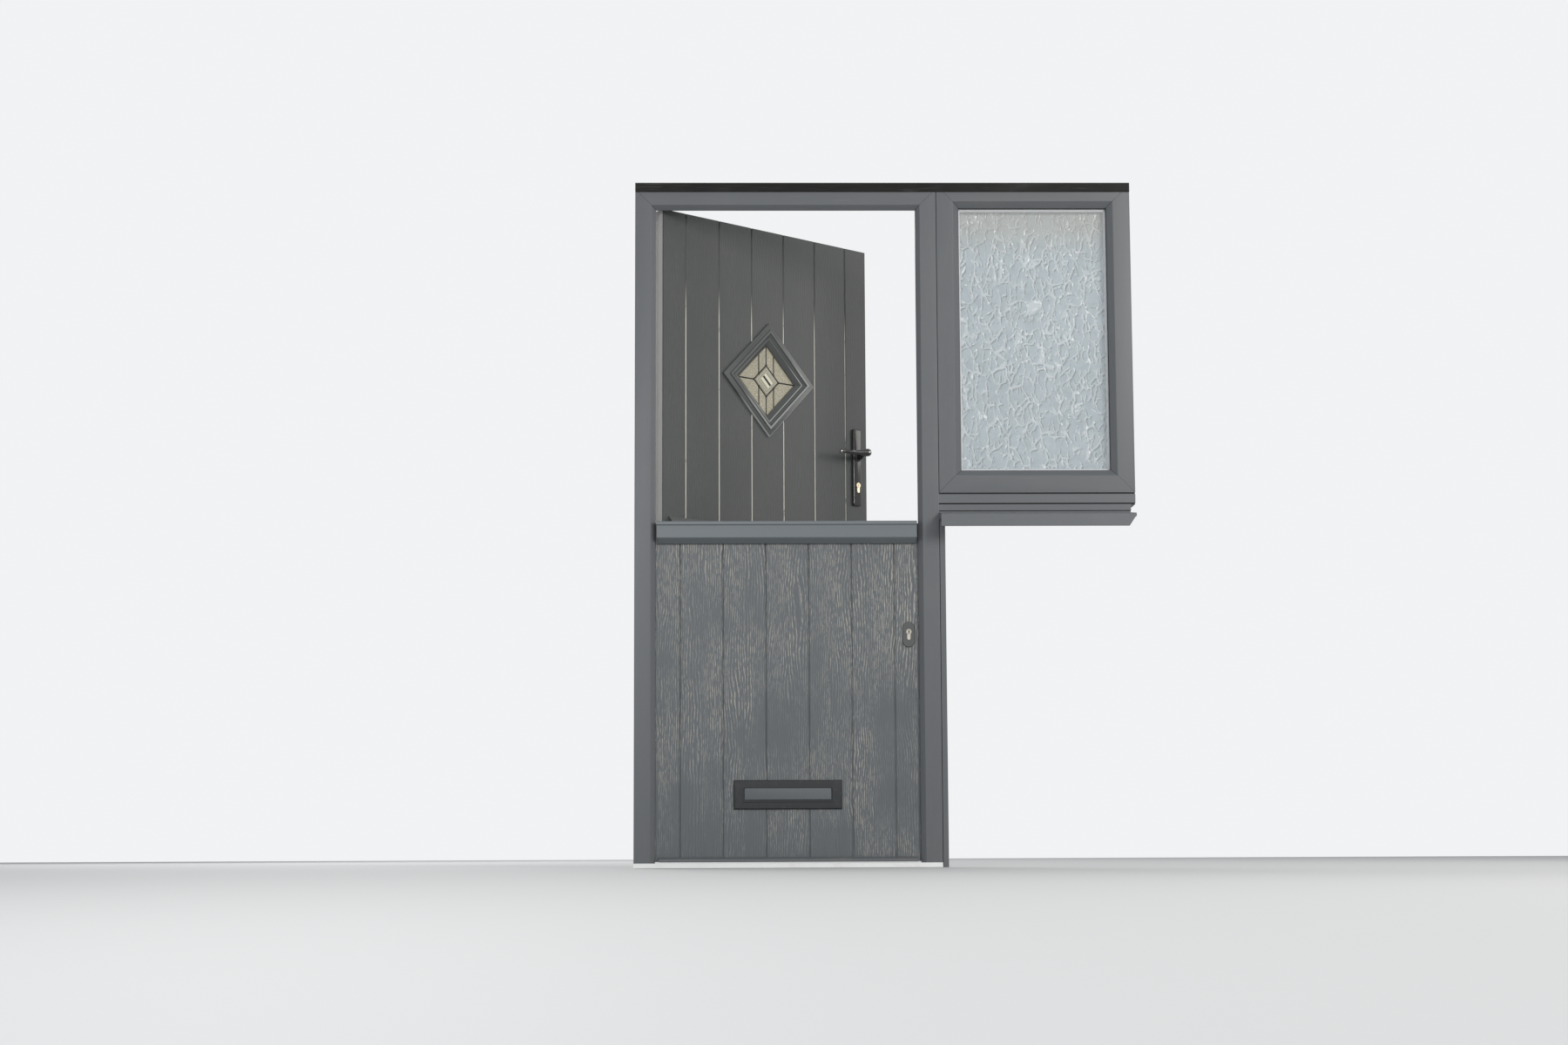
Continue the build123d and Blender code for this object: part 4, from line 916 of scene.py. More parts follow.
@dataclass(frozen=True)
class CrinkledUnit(Finish):
    """A sealed unit, clear pane outside, obscure pane inside, with painted light and shade on its crinkles.

    Args:
        ridge: Colour of light caught on the crinkles.
        crease_shade: Colour of the painted shade on the dark side of the crinkles.
        cell: Cells of the crinkles for each metre across.
        bend: How far their lines are bent, in metres.
    """

    ridge: Colour
    crease_shade: Colour
    cell: float
    bend: float = 0.031

    def creases(self, g: Graph, p: Value, shift: Pair, size: float, offset: float) -> Value:
        """Thin lines along the edges of long cells whose places are bent by noise, broken by a mask.

        Args:
            g: The material's graph.
            p: Coordinates.
            shift: A step (x, z) in metres by which the lines are moved.
            size: Cells for each metre across.
            offset: A number that makes one set of lines differ from another.

        Returns:
            1 on a line, 0 off it.
        """
        moved = g.add("Mapping", {"Vector": p, "Location": (offset + shift[0], 0.0, offset + shift[1]),
                                  "Scale": (1.0, 0.0, 1.0)})
        bend = g.noise(moved, size * 0.75, 2.0, 0.6, output="Color")
        bent = g.add("VectorMath", {0: bend, 1: (self.bend, 0.0, self.bend), 2: moved},
                     operation="MULTIPLY_ADD")
        edge = g.cells(g.stretched(bent, (1.0, 0.0, 0.44)), size, "DISTANCE_TO_EDGE")
        mask = g.noise(moved, size * 0.8, 2.0, 0.6).ramp(0.41, 0.55)
        return edge.fade(0.014, 0.066) * mask

    def build(self) -> bpy.types.Material:
        """Makes the material.

        Two sets of creases, one finer than the other. Each is a painted highlight, and the same lines
        moved a little to the right and down are painted shade.

        Returns:
            The material.
        """
        g, p = self.start()
        _, y, z = g.axes(p)
        bright, dark = 0.0, 0.0
        for size, offset in ((self.cell, 0.0), (self.cell * 1.55, 3.7)):
            bright = self.creases(g, p, (0.0, 0.0), size, offset).larger(bright)
            dark = self.creases(g, p, (-0.0046, 0.0030), size, offset).larger(dark)
        dark = dark * (1.0 - bright)
        soft = g.noise(p, self.cell * 0.9, 3.0, 0.6, 0.6)
        cloud = g.noise(p, 3.2)
        glint = g.noise(p, self.cell * 2.4, 2.0).ramp(0.60, 0.68)
        body = g.blend(cloud.ramp(0.3, 0.75) * 0.5, self.colour, scaled(self.colour, 1.10))
        # Painted shade and painted highlights on the broad relief, then on the creases, with painted glints.
        body = g.blend(soft.fade(0.34, 0.52) * 0.14, body, self.crease_shade)
        body = g.blend(soft.ramp(0.52, 0.66) * 0.08, body, self.ridge)
        body = g.blend(dark * 0.68, body, self.crease_shade)
        body = g.blend(bright * (glint * 0.60 + 0.36), body, self.ridge)
        # Painted shade: the top of the pane, under the head, is darker and warmer.
        body = g.blend(z.ramp(1.84, 1.99) * 0.60, body, (0.45, 0.43, 0.375))
        obscure = g.shader(body, roughness=0.16, transmission_weight=0.08, ior=1.5,
                           normal=g.relief(bright - dark * 0.7 + soft * 0.5, 1.2, 0.7))
        wipe = g.streaks(p, (6.0, 1.0, 3.0), 4.0)
        clear = g.shader((0.90, 0.92, 0.92), roughness=wipe * 0.05, alpha=0.08)
        return g.end(g.add("MixShader", {0: y.over(0.0), 1: clear, 2: obscure}))


@dataclass(frozen=True)
class BevelledLight(Finish):
    """Obscure glass of the diamond, with a bevelled tile in its middle.

    Args:
        fleck: Colour of its brighter grains.
        tile: Colour of the tile's bevels.
        bright: Colour of the two bars on the tile.
        dark: Colour of the cut between them.
    """

    fleck: Colour
    tile: Colour
    bright: Colour
    dark: Colour

    def build(self) -> bpy.types.Material:
        """Makes the material.

        The tile's own axes are (x - up) / sqrt 2 along its bars and (x + up) / sqrt 2 across
        them, and the larger of the two, without sign, tells its bevels apart.

        Returns:
            The material.
        """
        g, p = self.start()
        x, y, z = g.axes(p)
        up = z - DIAMOND_HEIGHT * MM
        along, across = (x - up) * math.sqrt(0.5), (x + up) * math.sqrt(0.5)
        reach = abs(along).larger(abs(across))
        on_tile = reach.fade(0.0316, 0.0322) * (1.0 - y.over(0.0))
        grain = g.noise(p, 240.0, 4.0, 0.65, 1.0)
        cloud = g.noise(p, 14.0)
        body = g.blend(grain.ramp(0.42, 0.66) * 0.4, self.colour, self.fleck)
        body = g.blend(cloud.ramp(0.35, 0.7) * 0.35, body, scaled(self.colour, 0.7))
        steps = (reach.ramp(0.0268, 0.0272) - reach.ramp(0.0284, 0.0288)
                 + reach.ramp(0.0205, 0.0209) - reach.ramp(0.0222, 0.0226))
        inside = along.near(0.0196, 0.0202)
        face = g.blend(steps * 0.65, self.tile, self.bright)
        face = g.blend(inside * across.near(0.0134, 0.0140), face, self.bright)
        face = g.blend(inside * across.near(0.0036, 0.0042), face, self.dark)
        smooth = grain * (1.0 - on_tile)
        return g.surface(g.blend(on_tile, body, face), roughness=0.16 + smooth * 0.2,
                         transmission_weight=0.22, ior=1.5, normal=g.relief(smooth, 0.8, 0.7))


@dataclass(frozen=True)
class CellFoam(Finish):
    """Rigid yellow foam with open cut cells."""

    def build(self) -> bpy.types.Material:
        """Makes the material.

        Returns:
            The material.
        """
        g, p = self.start()
        cell, cloud = g.cells(p, 900.0), g.noise(p, 12.0)
        return g.surface(g.blend(cloud * 0.5, self.colour, scaled(self.colour, 0.75)), roughness=0.85,
                         normal=g.relief(cell, 0.5, 0.8))


class Finishes:
    """Every material of the door, made once and looked up by name."""

    def __init__(self) -> None:
        """Builds all materials."""
        top, even = Leaf.TOP, (500.0, 500.0, 500.0)
        inner = (WHITE, (0.60, 0.58, 0.53), 0.15, 0.2, (0.5, 0.48, 0.42))
        made = (
            GrainedFoil("door_frame_foil", ANTHRACITE, -0.0178, (0.0, 1.0), (0.460, 1.069), True),
            GrainedFoil("window_frame_foil", ANTHRACITE, -0.0158, scaled(LIGHT_CENTRE, MM),
                        scaled(LIGHT_HALF, MM)),
            GrainedFoil("strip_foil", ANTHRACITE, 0.020, (0.469, 0.0), (0.009, 9.0)),
            GrainedFoil("cill_foil", (0.124, 0.132, 0.140), 0.030, (0.758, 1.05), (9.0, 0.04),
                        painted_shade_gaps=((1.0905, 1.0945), (1.1225, 1.1265))),
            # The head trim's near-black colour is partly its own, partly painted shade from the eaves over
            # the head.
            GrainedFoil("head_foil", (0.012, 0.012, 0.011), 0.030, (0.3, 2.07), (9.0, 0.03), shine=0.12),
            # Painted shade: this skin is the bottom leaf's material made darker, for the open top leaf
            # standing back in the doorway. Below 1.8 m its cream groove colour is a painted highlight.
            BoardSkin("top_board_skin", (0.066, 0.070, 0.068), (0.15, 0.145, 0.13), 0.25, 1.0,
                      (0.86, 0.82, 0.72), 1.80, leaf=top),
            BoardSkin("bottom_board_skin", (0.112, 0.125, 0.134), (0.47, 0.44, 0.38), 0.95, 0.12,
                      (0.36, 0.33, 0.27), 1.0, 0.10),
            BoardSkin("top_inner_skin", *inner, 1.3, leaf=top),
            BoardSkin("bottom_inner_skin", *inner, 0.9),
            SmoothPlastic("white_edge", WHITE, 0.4, 0.10),
            SmoothPlastic("white_edge_top", WHITE, 0.4, 0.10, leaf=top),
            SmoothPlastic("threshold_white", (0.90, 0.90, 0.89), 0.38, 0.35, (0.33, 0.29, 0.22)),
            SmoothPlastic("bead_white", WHITE, 0.3, 0.08),
            SmoothPlastic("bar_grey", (0.156, 0.175, 0.187), 0.36, 0.15, (0.40, 0.37, 0.30)),
            SmoothPlastic("rail_grey", (0.11, 0.112, 0.11), 0.36, 0.30, GREY_DIRT, leaf=top),
            SmoothPlastic("cap_grey", (0.125, 0.132, 0.138), 0.33, 0.25, GREY_DIRT),
            SteppedMoulding("moulding_grey", (0.078, 0.082, 0.080), (0.50, 0.51, 0.49), leaf=top),
            SmoothPlastic("moulding_white", WHITE, 0.3, 0.08, leaf=top),
            GlossPaint("letter_grey", (0.030, 0.033, 0.035), 0.42, 0.0),
            SmoothPlastic("flap_grey", (0.105, 0.117, 0.125), 0.45, 0.10),
            GlossPaint("rose_grey", (0.070, 0.073, 0.072), 0.26),
            GlossPaint("fitting_black", (0.026, 0.0255, 0.021), 0.20, 0.35, leaf=top),
            PaintedGlintLever("black_chrome", (0.060, 0.060, 0.058), (0.70, 0.69, 0.66), leaf=top),
            GlossPaint("fitting_white", (0.76, 0.76, 0.75), 0.3),
            Metal("lock_steel", (0.56, 0.56, 0.54), 0.34),
            Metal("brass", (1.0, 0.86, 0.60), 0.42, even, 0.20, (0.45, 0.33, 0.18), 1.233, leaf=top),
            Metal("nickel", (0.40, 0.375, 0.33), 0.42, even, 0.20, (0.30, 0.27, 0.22), 0.705),
            Metal("bolt_chrome", (0.68, 0.68, 0.69), 0.12, (300.0, 300.0, 20.0), 0.12),
            SmoothPlastic("spacer_silver", (0.84, 0.85, 0.86), 0.28, 0.05),
            Metal("lead_came", (0.055, 0.053, 0.052), 0.5, (120.0, 120.0, 120.0), 0.6,
                  (0.05, 0.05, 0.052), leaf=top),
            Metal("screw_steel", (0.62, 0.61, 0.58), 0.28, (400.0, 400.0, 400.0), 0.2),
            SoftRubber("seal_rubber", (0.018, 0.018, 0.019)),
            CellFoam("core_foam", (0.72, 0.62, 0.40)),
            CrinkledUnit("window_glass", (0.465, 0.54, 0.575), (0.95, 0.97, 0.98),
                         (0.17, 0.195, 0.205), 26.0),
            BevelledLight("light_glass", (0.46, 0.42, 0.31), (0.72, 0.67, 0.50), (0.42, 0.40, 0.31),
                          (0.92, 0.88, 0.70), (0.02, 0.018, 0.012), leaf=top),
        )
        self.materials = {finish.name: finish.build() for finish in made}

    def __getitem__(self, name: str) -> bpy.types.Material:
        """The material of that name."""
        return self.materials[name]


FINISH_NODES = {
    "door_frame_foil": "hinge_jamb lock_jamb frame_head lock_sections",
    "window_frame_foil": "window_frame",
    "strip_foil": "packing_strips",
    "cill_foil": "window_strip window_cill",
    "head_foil": "head_trim",
    "top_board_skin": "top_outer_skin",
    "bottom_board_skin": "bottom_outer_skin",
    "top_inner_skin": "top_inner_skin",
    "bottom_inner_skin": "bottom_inner_skin",
    "white_edge": "bottom_edge_frame",
    "white_edge_top": "top_edge_frame",
    "threshold_white": "threshold",
    "bead_white": "window_beads",
    "bar_grey": "weather_bar",
    "rail_grey": "weather_rail",
    "cap_grey": "cill_cap weather_bar_caps drip_bar",
    "moulding_grey": "light_outer_frame",
    "moulding_white": "light_inner_frame",
    "letter_grey": "letter_frame",
    "flap_grey": "letter_flap",
    "rose_grey": "key_escutcheons",
    "fitting_black": "outer_handle_plate inner_handle_plate",
    "black_chrome": "outer_lever inner_lever",
    "fitting_white": "jamb_hinges bottom_leaf_hinges top_leaf_hinges letter_inner_frame letter_inner_flap",
    "lock_steel": "lock_keeps hinge_pins bottom_lock_case bottom_deadbolt top_lock_case latch_bolt "
                  "top_deadbolt lever_spindle",
    "brass": "top_key_cylinder top_key_plug",
    "nickel": "bottom_key_cylinder bottom_key_plug",
    "bolt_chrome": "barrel_bolt_body barrel_bolt_rod barrel_bolt_keep",
    "spacer_silver": "window_spacer light_spacer",
    "lead_came": "light_leading",
    "seal_rubber": "frame_seal window_seal",
    "core_foam": "bottom_foam_core top_foam_core",
    "window_glass": "window_panes",
    "light_glass": "light_panes",
}


def dress_nodes(finishes: Finishes) -> None:
    """Gives every CAD node its material.

    Args:
        finishes: The made materials.
    """
    for finish, names in FINISH_NODES.items():
        for name in names.split():
            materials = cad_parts[name].data.materials
            materials.clear()
            materials.append(finishes[finish])


# Sub-assemblies


@dataclass
class Assembly:
    """A sub-assembly of the door. Each kind has a build method that makes its pieces.

    Args:
        finishes: The made materials.
    """

    finishes: Finishes

    def add(self, draft: Draft, name: str, finish: str, body: str, slot: str, *stands_for: str,
            sharp: float = 25.0) -> None:
        """Makes a piece, dresses it and lets it ride.

        Args:
            draft: Its shape.
            name: Its name.
            finish: Name of its material.
            body: The body it rides on.
            slot: The record's material slot; not used.
            stands_for: CAD nodes that it replaces.
            sharp: Angle in degrees over which an edge stays crisp.
        """
        leaf = next(leaf for leaf in Leaf if body in leaf.value)
        mesh = draft.mesh(name, leaf, sharp)
        mesh.materials.append(self.finishes[finish])
        piece = linked(name, mesh)
        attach(piece, body)
        if stands_for:
            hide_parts(*stands_for)
        log.info("%s: %d faces", name, len(mesh.polygons))


@dataclass
class LeverSet(Assembly):
    """Plates, levers and necks on the top leaf, outside and inside.

    Args:
        height: Height of the spindle.
        plate_low: Lower end of the plate.
        plate_high: Upper end of the plate.
        plate_half: Half width of the plate.
        plate_depth: Thickness of the plate.
        neck_reach: How far the neck stands out before it reaches its full lift.
        neck_lift: How far the neck curves up.
    """

    height: float = 1325.0
    plate_low: float = 1166.0
    plate_high: float = 1418.0
    plate_half: float = 16.5
    plate_depth: float = 10.0
    neck_reach: float = 34.0
    neck_lift: float = 9.0

    @property
    def face(self) -> float:
        """Depth of the outside plate's face."""
        return SKIN_FRONT - self.plate_depth

    def plate(self) -> Draft:
        """The plate, with a flat bevel round its face.

        Returns:
            The draft of the outside plate.
        """
        x, z, face = self.plate_half, (self.plate_high - self.plate_low) / 2, self.face
        outline = softened([(-x, -z), (x, -z), (x, z), (-x, z)], 5.0, 6)
        steps = [(0.0, SKIN_FRONT), (0.0, face + 3.6), (0.15, face + 3.2), (3.2, face + 0.15), (3.6, face)]
        return Draft().plate(outline, steps, (LOCK_X, (self.plate_low + self.plate_high) / 2))

    def raised(self, points: np.ndarray) -> np.ndarray:
        """Raises points of the neck by its lift times the square of their share of its reach.

        Args:
            points: The neck's points.

        Returns:
            The raised points.
        """
        out = points.copy()
        out[:, 2] += self.neck_lift * np.clip((self.face - out[:, 1]) / self.neck_reach, 0.0, 1.0) ** 2
        return out

    def lever(self) -> Draft:
        """The lever, an oval bar with a ball at its tip, and the neck that carries it.

        Returns:
            The draft of the outside lever.
        """
        run = through(np.array([
            # along, depth, rise, half thickness, half height
            (23.5, 37.0, 13.0, 0.0, 0.0), (22.6, 37.3, 13.0, 4.6, 5.6), (19.0, 38.0, 13.0, 7.6, 10.2),
            (9.0, 38.0, 12.0, 9.0, 12.8), (-4.0, 38.4, 10.6, 8.3, 11.4), (-20.0, 39.2, 8.8, 7.0, 9.0),
            (-45.0, 40.0, 7.0, 5.6, 6.8), (-70.0, 39.8, 5.6, 5.0, 5.8), (-90.0, 39.0, 4.8, 4.8, 5.2),
            (-97.0, 38.5, 4.5, 5.6, 5.8), (-102.0, 38.2, 4.5, 6.5, 6.8), (-106.0, 38.0, 4.5, 4.6, 4.8),
            (-108.0, 38.0, 4.5, 0.0, 0.0),
        ]), 96)
        halves = np.maximum(run[:, 3:], 0.0)
        halves[[0, -1]] = 0.0
        path = np.stack([LOCK_X + run[:, 0], self.face - run[:, 1], self.height + run[:, 2]], axis=1)
        neck = [(0.0, 0.2), (13.4, 0.2), (13.8, 0.9), (13.6, 2.6), (12.6, 3.6), (11.6, 4.2), (10.4, 6.0),
                (9.6, 10.0), (9.3, 18.0), (9.8, 26.0), (9.0, 33.0), (6.0, 36.5), (0.0, 37.5)]
        made = Draft().bar(path, halves).lathe(neck, (LOCK_X, self.face, self.height), OUT, 40)
        made.points[-1] = self.raised(made.points[-1])
        return made

    def build(self) -> None:
        """Makes both sides."""
        for side in Side:
            word = side.value
            self.add(self.plate().on(side), f"{word}_plate_face", "fitting_black", "top_leaf",
                     "black_fittings", f"{word}_handle_plate", sharp=40.0)
            self.add(self.lever().on(side), f"{word}_lever_arm", "black_chrome", "levers",
                     "black_fittings", f"{word}_lever", sharp=60.0)


@dataclass
class DiamondLight(Assembly):
    """The glazed diamond in the top leaf: rounded mouldings, lead cames and their solder.

    Args:
        glass_front: Depth of the glass face.
        ring_reach: Reach of the inner ring of lead from the diamond's centre.
        arm_reach: Reach of the arms that lead out from its corners.
        upright_x: How far the four short uprights stand from the centre.
        came_half: Half width of a came.
        came_rise: How far a came stands off the glass.
    """

    glass_front: float = -4.0
    ring_reach: float = 50.0
    arm_reach: float = 112.2
    upright_x: float = 30.0
    came_half: float = 2.25
    came_rise: float = 1.35

    def moulding(self) -> Draft:
        """The stepped section carried round the diamond.

        Returns:
            The draft of the outside moulding.
        """
        front = SKIN_FRONT
        profile = softened([
            (0.0, front), (0.0, front - 6.5), (1.5, front - 8.0), (15.0, front - 11.0),
            (17.5, front - 14.8), (22.0, front - 14.8), (24.0, front - 12.2), (32.5, front - 6.8),
            (35.0, front - 6.8), (49.5, front + 6.0), (49.5, front + 10.0), (41.5, front + 10.0),
            (41.5, front),
        ], 1.0)
        corners = np.array([(1.0, 0.0), (0.0, 1.0), (-1.0, 0.0), (0.0, -1.0)])
        start = corners * DIAMOND_HALF + np.array([0.0, DIAMOND_HEIGHT])
        return Draft().mitred(profile, start, -corners * math.sqrt(2))

    def came_lines(self) -> np.ndarray:
        """Ends of the lead lines.

        Returns:
            Lines by two ends by (x, z), from the diamond's centre.
        """
        d, reach, x = self.ring_reach, self.arm_reach, self.upright_x
        ring = np.array([(d, 0.0), (0.0, d), (-d, 0.0), (0.0, -d)])
        sides = np.stack([ring, np.roll(ring, -1, axis=0)], axis=1)
        arms = np.stack([ring, ring / d * reach], axis=1)
        low, high = d - x, reach - x
        ups = np.array([[(sx * x, sz * low), (sx * x, sz * high)] for sx in (-1, 1) for sz in (-1, 1)])
        return np.concatenate([sides, arms, ups])

    def leading(self) -> Draft:
        """The cames: half-round strips along the lines, and flattened blobs of solder where they meet.

        Across a strip y rises as the cosine of the way from its middle to the power 0.6; a blob is
        a profile turned round a point. The far ends, under the moulding, have no blobs.

        Returns:
            The draft of all cames.
        """
        made = Draft()
        lines = self.came_lines()
        middle = np.array([0.0, DIAMOND_HEIGHT])
        across = np.linspace(-1.0, 1.0, 9)
        rise = self.came_rise * np.cos(across * math.pi / 2) ** 0.6
        for start, end in lines:
            way = (end - start) / np.linalg.norm(end - start)
            side = np.array([-way[1], way[0]])
            ends = np.stack([start, end])[:, None, :] + (across * self.came_half)[None, :, None] * side
            top = upright(ends + middle, self.glass_front - rise)
            back = top[:, ::-1].copy()
            back[..., 1] = self.glass_front + 0.05
            made.tube(np.concatenate([top, back], axis=1))
        blob = [(0.0, -0.05), (4.4, -0.05), (4.1, 0.8), (3.0, 1.5), (1.4, 1.8), (0.0, 1.85)]
        for x, z in np.unique(np.round(lines.reshape(-1, 2), 3), axis=0):
            if abs(x) + abs(z) < self.arm_reach - 1.0:
                made.lathe(blob, (x, self.glass_front, DIAMOND_HEIGHT + z), OUT, 16)
        return made

    def build(self) -> None:
        """Makes the mouldings and the leading."""
        looks = {Side.OUTSIDE: ("moulding_grey", "grey_fittings"),
                 Side.INSIDE: ("moulding_white", "white_profile")}
        for side, (finish, slot) in looks.items():
            self.add(self.moulding().on(side), f"light_{side.value}_moulding", finish, "top_leaf", slot,
                     f"light_{side.value}_frame", sharp=22.0)
        self.add(self.leading(), "lead_cames", "lead_came", "top_leaf", "lead", "light_leading", sharp=50.0)


@dataclass
class FrameFoil(Assembly):
    """The wrapped front of the door frame and of the side light, with rounded edges.

    Args:
        foot: Height at which the wrap of the door frame starts.
        lift: How far the wraps stand proud of the profiles.
    """

    foot: float = 14.1
    lift: float = 0.2

    def build(self) -> None:
        """Makes both wraps."""
        lift = self.lift
        front = FRAME_FRONT - lift
        profile = softened([
            (0.15, -30.0), (0.15, front), (49.0, front), (63.0 + lift, -23.0 - lift),
            (63.0 + lift, -18.4), (62.4, -18.4), (62.4, -22.0), (48.0, -33.0), (1.5, -33.0), (1.5, -30.0),
        ], 1.6, 5)
        corners = np.array([(-FRAME_HALF, self.foot), (-FRAME_HALF, FRAME_TOP), (FRAME_HALF, FRAME_TOP),
                            (FRAME_HALF, self.foot)])
        inward = np.array([(1.0, 0.0), (1.0, -1.0), (-1.0, -1.0), (-1.0, 0.0)])
        self.add(Draft().mitred(profile, corners, inward, closed=False), "door_frame_wrap",
                 "door_frame_foil", "frame", "anthracite_profile", sharp=24.0)
        profile = softened([
            (2.35, -30.0), (2.35, front), (52.0, front), (70.0 + lift, -22.0 - lift),
            (70.0 + lift, -16.4), (69.4, -16.4), (69.4, -21.0), (51.0, -33.0), (3.7, -33.0), (3.7, -30.0),
        ], 1.8, 5)
        self.add(Draft().framed(profile, LIGHT_CENTRE, LIGHT_HALF), "window_frame_wrap",
                 "window_frame_foil", "frame", "anthracite_profile", sharp=24.0)


@dataclass
class MeetingBars(Assembly):
    """Weather bar, drip bar and meeting rail, with the soft edges of an extrusion."""

    def build(self) -> None:
        """Makes the three bars."""
        front = SKIN_FRONT
        bar = softened([
            (front, 976.5), (front - 7, 973.5), (-43.0, 988.0), (-45.0, 990.0), (-45.0, 1027.0),
            (-49.0, 1029.0), (-49.0, 1037.5), (-47.0, 1039.5), (SKIN_BACK, 1039.5), (SKIN_BACK, 1036.0),
            (front, 1036.0),
        ], 1.4)
        rail = softened([
            (front, 1042.0), (front, 1063.0), (front - 3, 1063.0), (-30.0, 1050.0), (-30.0, 1042.0),
            (-27.0, 1042.0), (-27.0, 1046.0), (front - 4, 1046.0), (front - 4, 1042.0),
        ], 1.0)
        drip = softened([
            (front, 20.0), (front, 32.0), (front - 3, 32.0), (-32.0, 25.0), (-32.0, 17.0),
            (-29.0, 17.0), (-28.0, 20.0),
        ], 1.0)
        for node, outline, reach, finish, body in (
            ("weather_bar", bar, 389.5, "bar_grey", "bottom_leaf"),
            ("weather_rail", rail, 390.0, "rail_grey", "top_leaf"),
            ("drip_bar", drip, 386.0, "cap_grey", "bottom_leaf"),
        ):
            self.add(Draft().prism(outline, reach), f"{node}_face", finish, body, "anthracite_trim", node)


@dataclass
class LetterPlate(Assembly):
    """The raised rim and the flap's face of the letter plate.

    Args:
        centre: Height of its centre.
        half_width: Half of its width.
        half_height: Half of its height.
        end_width: How much wider the rim is at its ends than above and below.
        flap_half: Half of the flap's width.
        flap_rise: How far the flap's middle lies over the plate's.
    """

    centre: float = 217.0
    half_width: float = 162.0
    half_height: float = 43.5
    end_width: float = 6.3
    flap_half: float = 129.6
    flap_rise: float = 2.8

    def rim(self) -> Draft:
        """A ring with a bevelled outside, a flat and a rolled edge round the opening.

        Returns:
            The draft of the outside rim.
        """
        front = SKIN_FRONT
        profile = softened([
            (0.0, front - 0.1), (0.0, front - 5.0), (3.0, front - 8.2), (20.0, front - 8.2),
            (21.5, front - 9.2), (23.6, front - 9.2), (24.4, front - 7.0), (24.4, front - 4.0),
            (4.0, front - 4.0), (4.0, front - 0.1),
        ], 1.2)
        return Draft().framed(profile, (0.0, self.centre), (self.half_width, self.half_height))

    def widened(self, points: np.ndarray) -> np.ndarray:
        """Moves the rim's inner edge at the ends in to the flap's ends.

        The step grows evenly from 0 at 4 mm inside the rim's end to its full width at 24 mm.

        Args:
            points: The rim's points.

        Returns:
            The moved points.
        """
        out = points.copy()
        inset = self.half_width - np.abs(out[:, 0])
        step = np.clip((inset - 4.0) / 20.0, 0.0, 1.0) * self.end_width
        out[:, 0] = np.sign(out[:, 0]) * (self.half_width - inset - step)
        return out

    def build(self) -> None:
        """Makes the rim and the flap's face."""
        self.add(self.rim().change(self.widened), "letter_rim", "letter_grey", "bottom_leaf",
                 "grey_fittings")
        half, low, high = self.flap_half, -18.0, 17.6
        flap = softened([(-half, low), (half, low), (half, high), (-half, high)], 1.5, 3)
        steps = [(0.4, -19.2), (0.0, -19.6), (0.0, -20.2), (0.8, -21.0), (2.0, -21.3)]
        self.add(Draft().plate(flap, steps, (0.0, self.centre + self.flap_rise)), "flap_face",
                 "flap_grey", "flap", "grey_fittings")


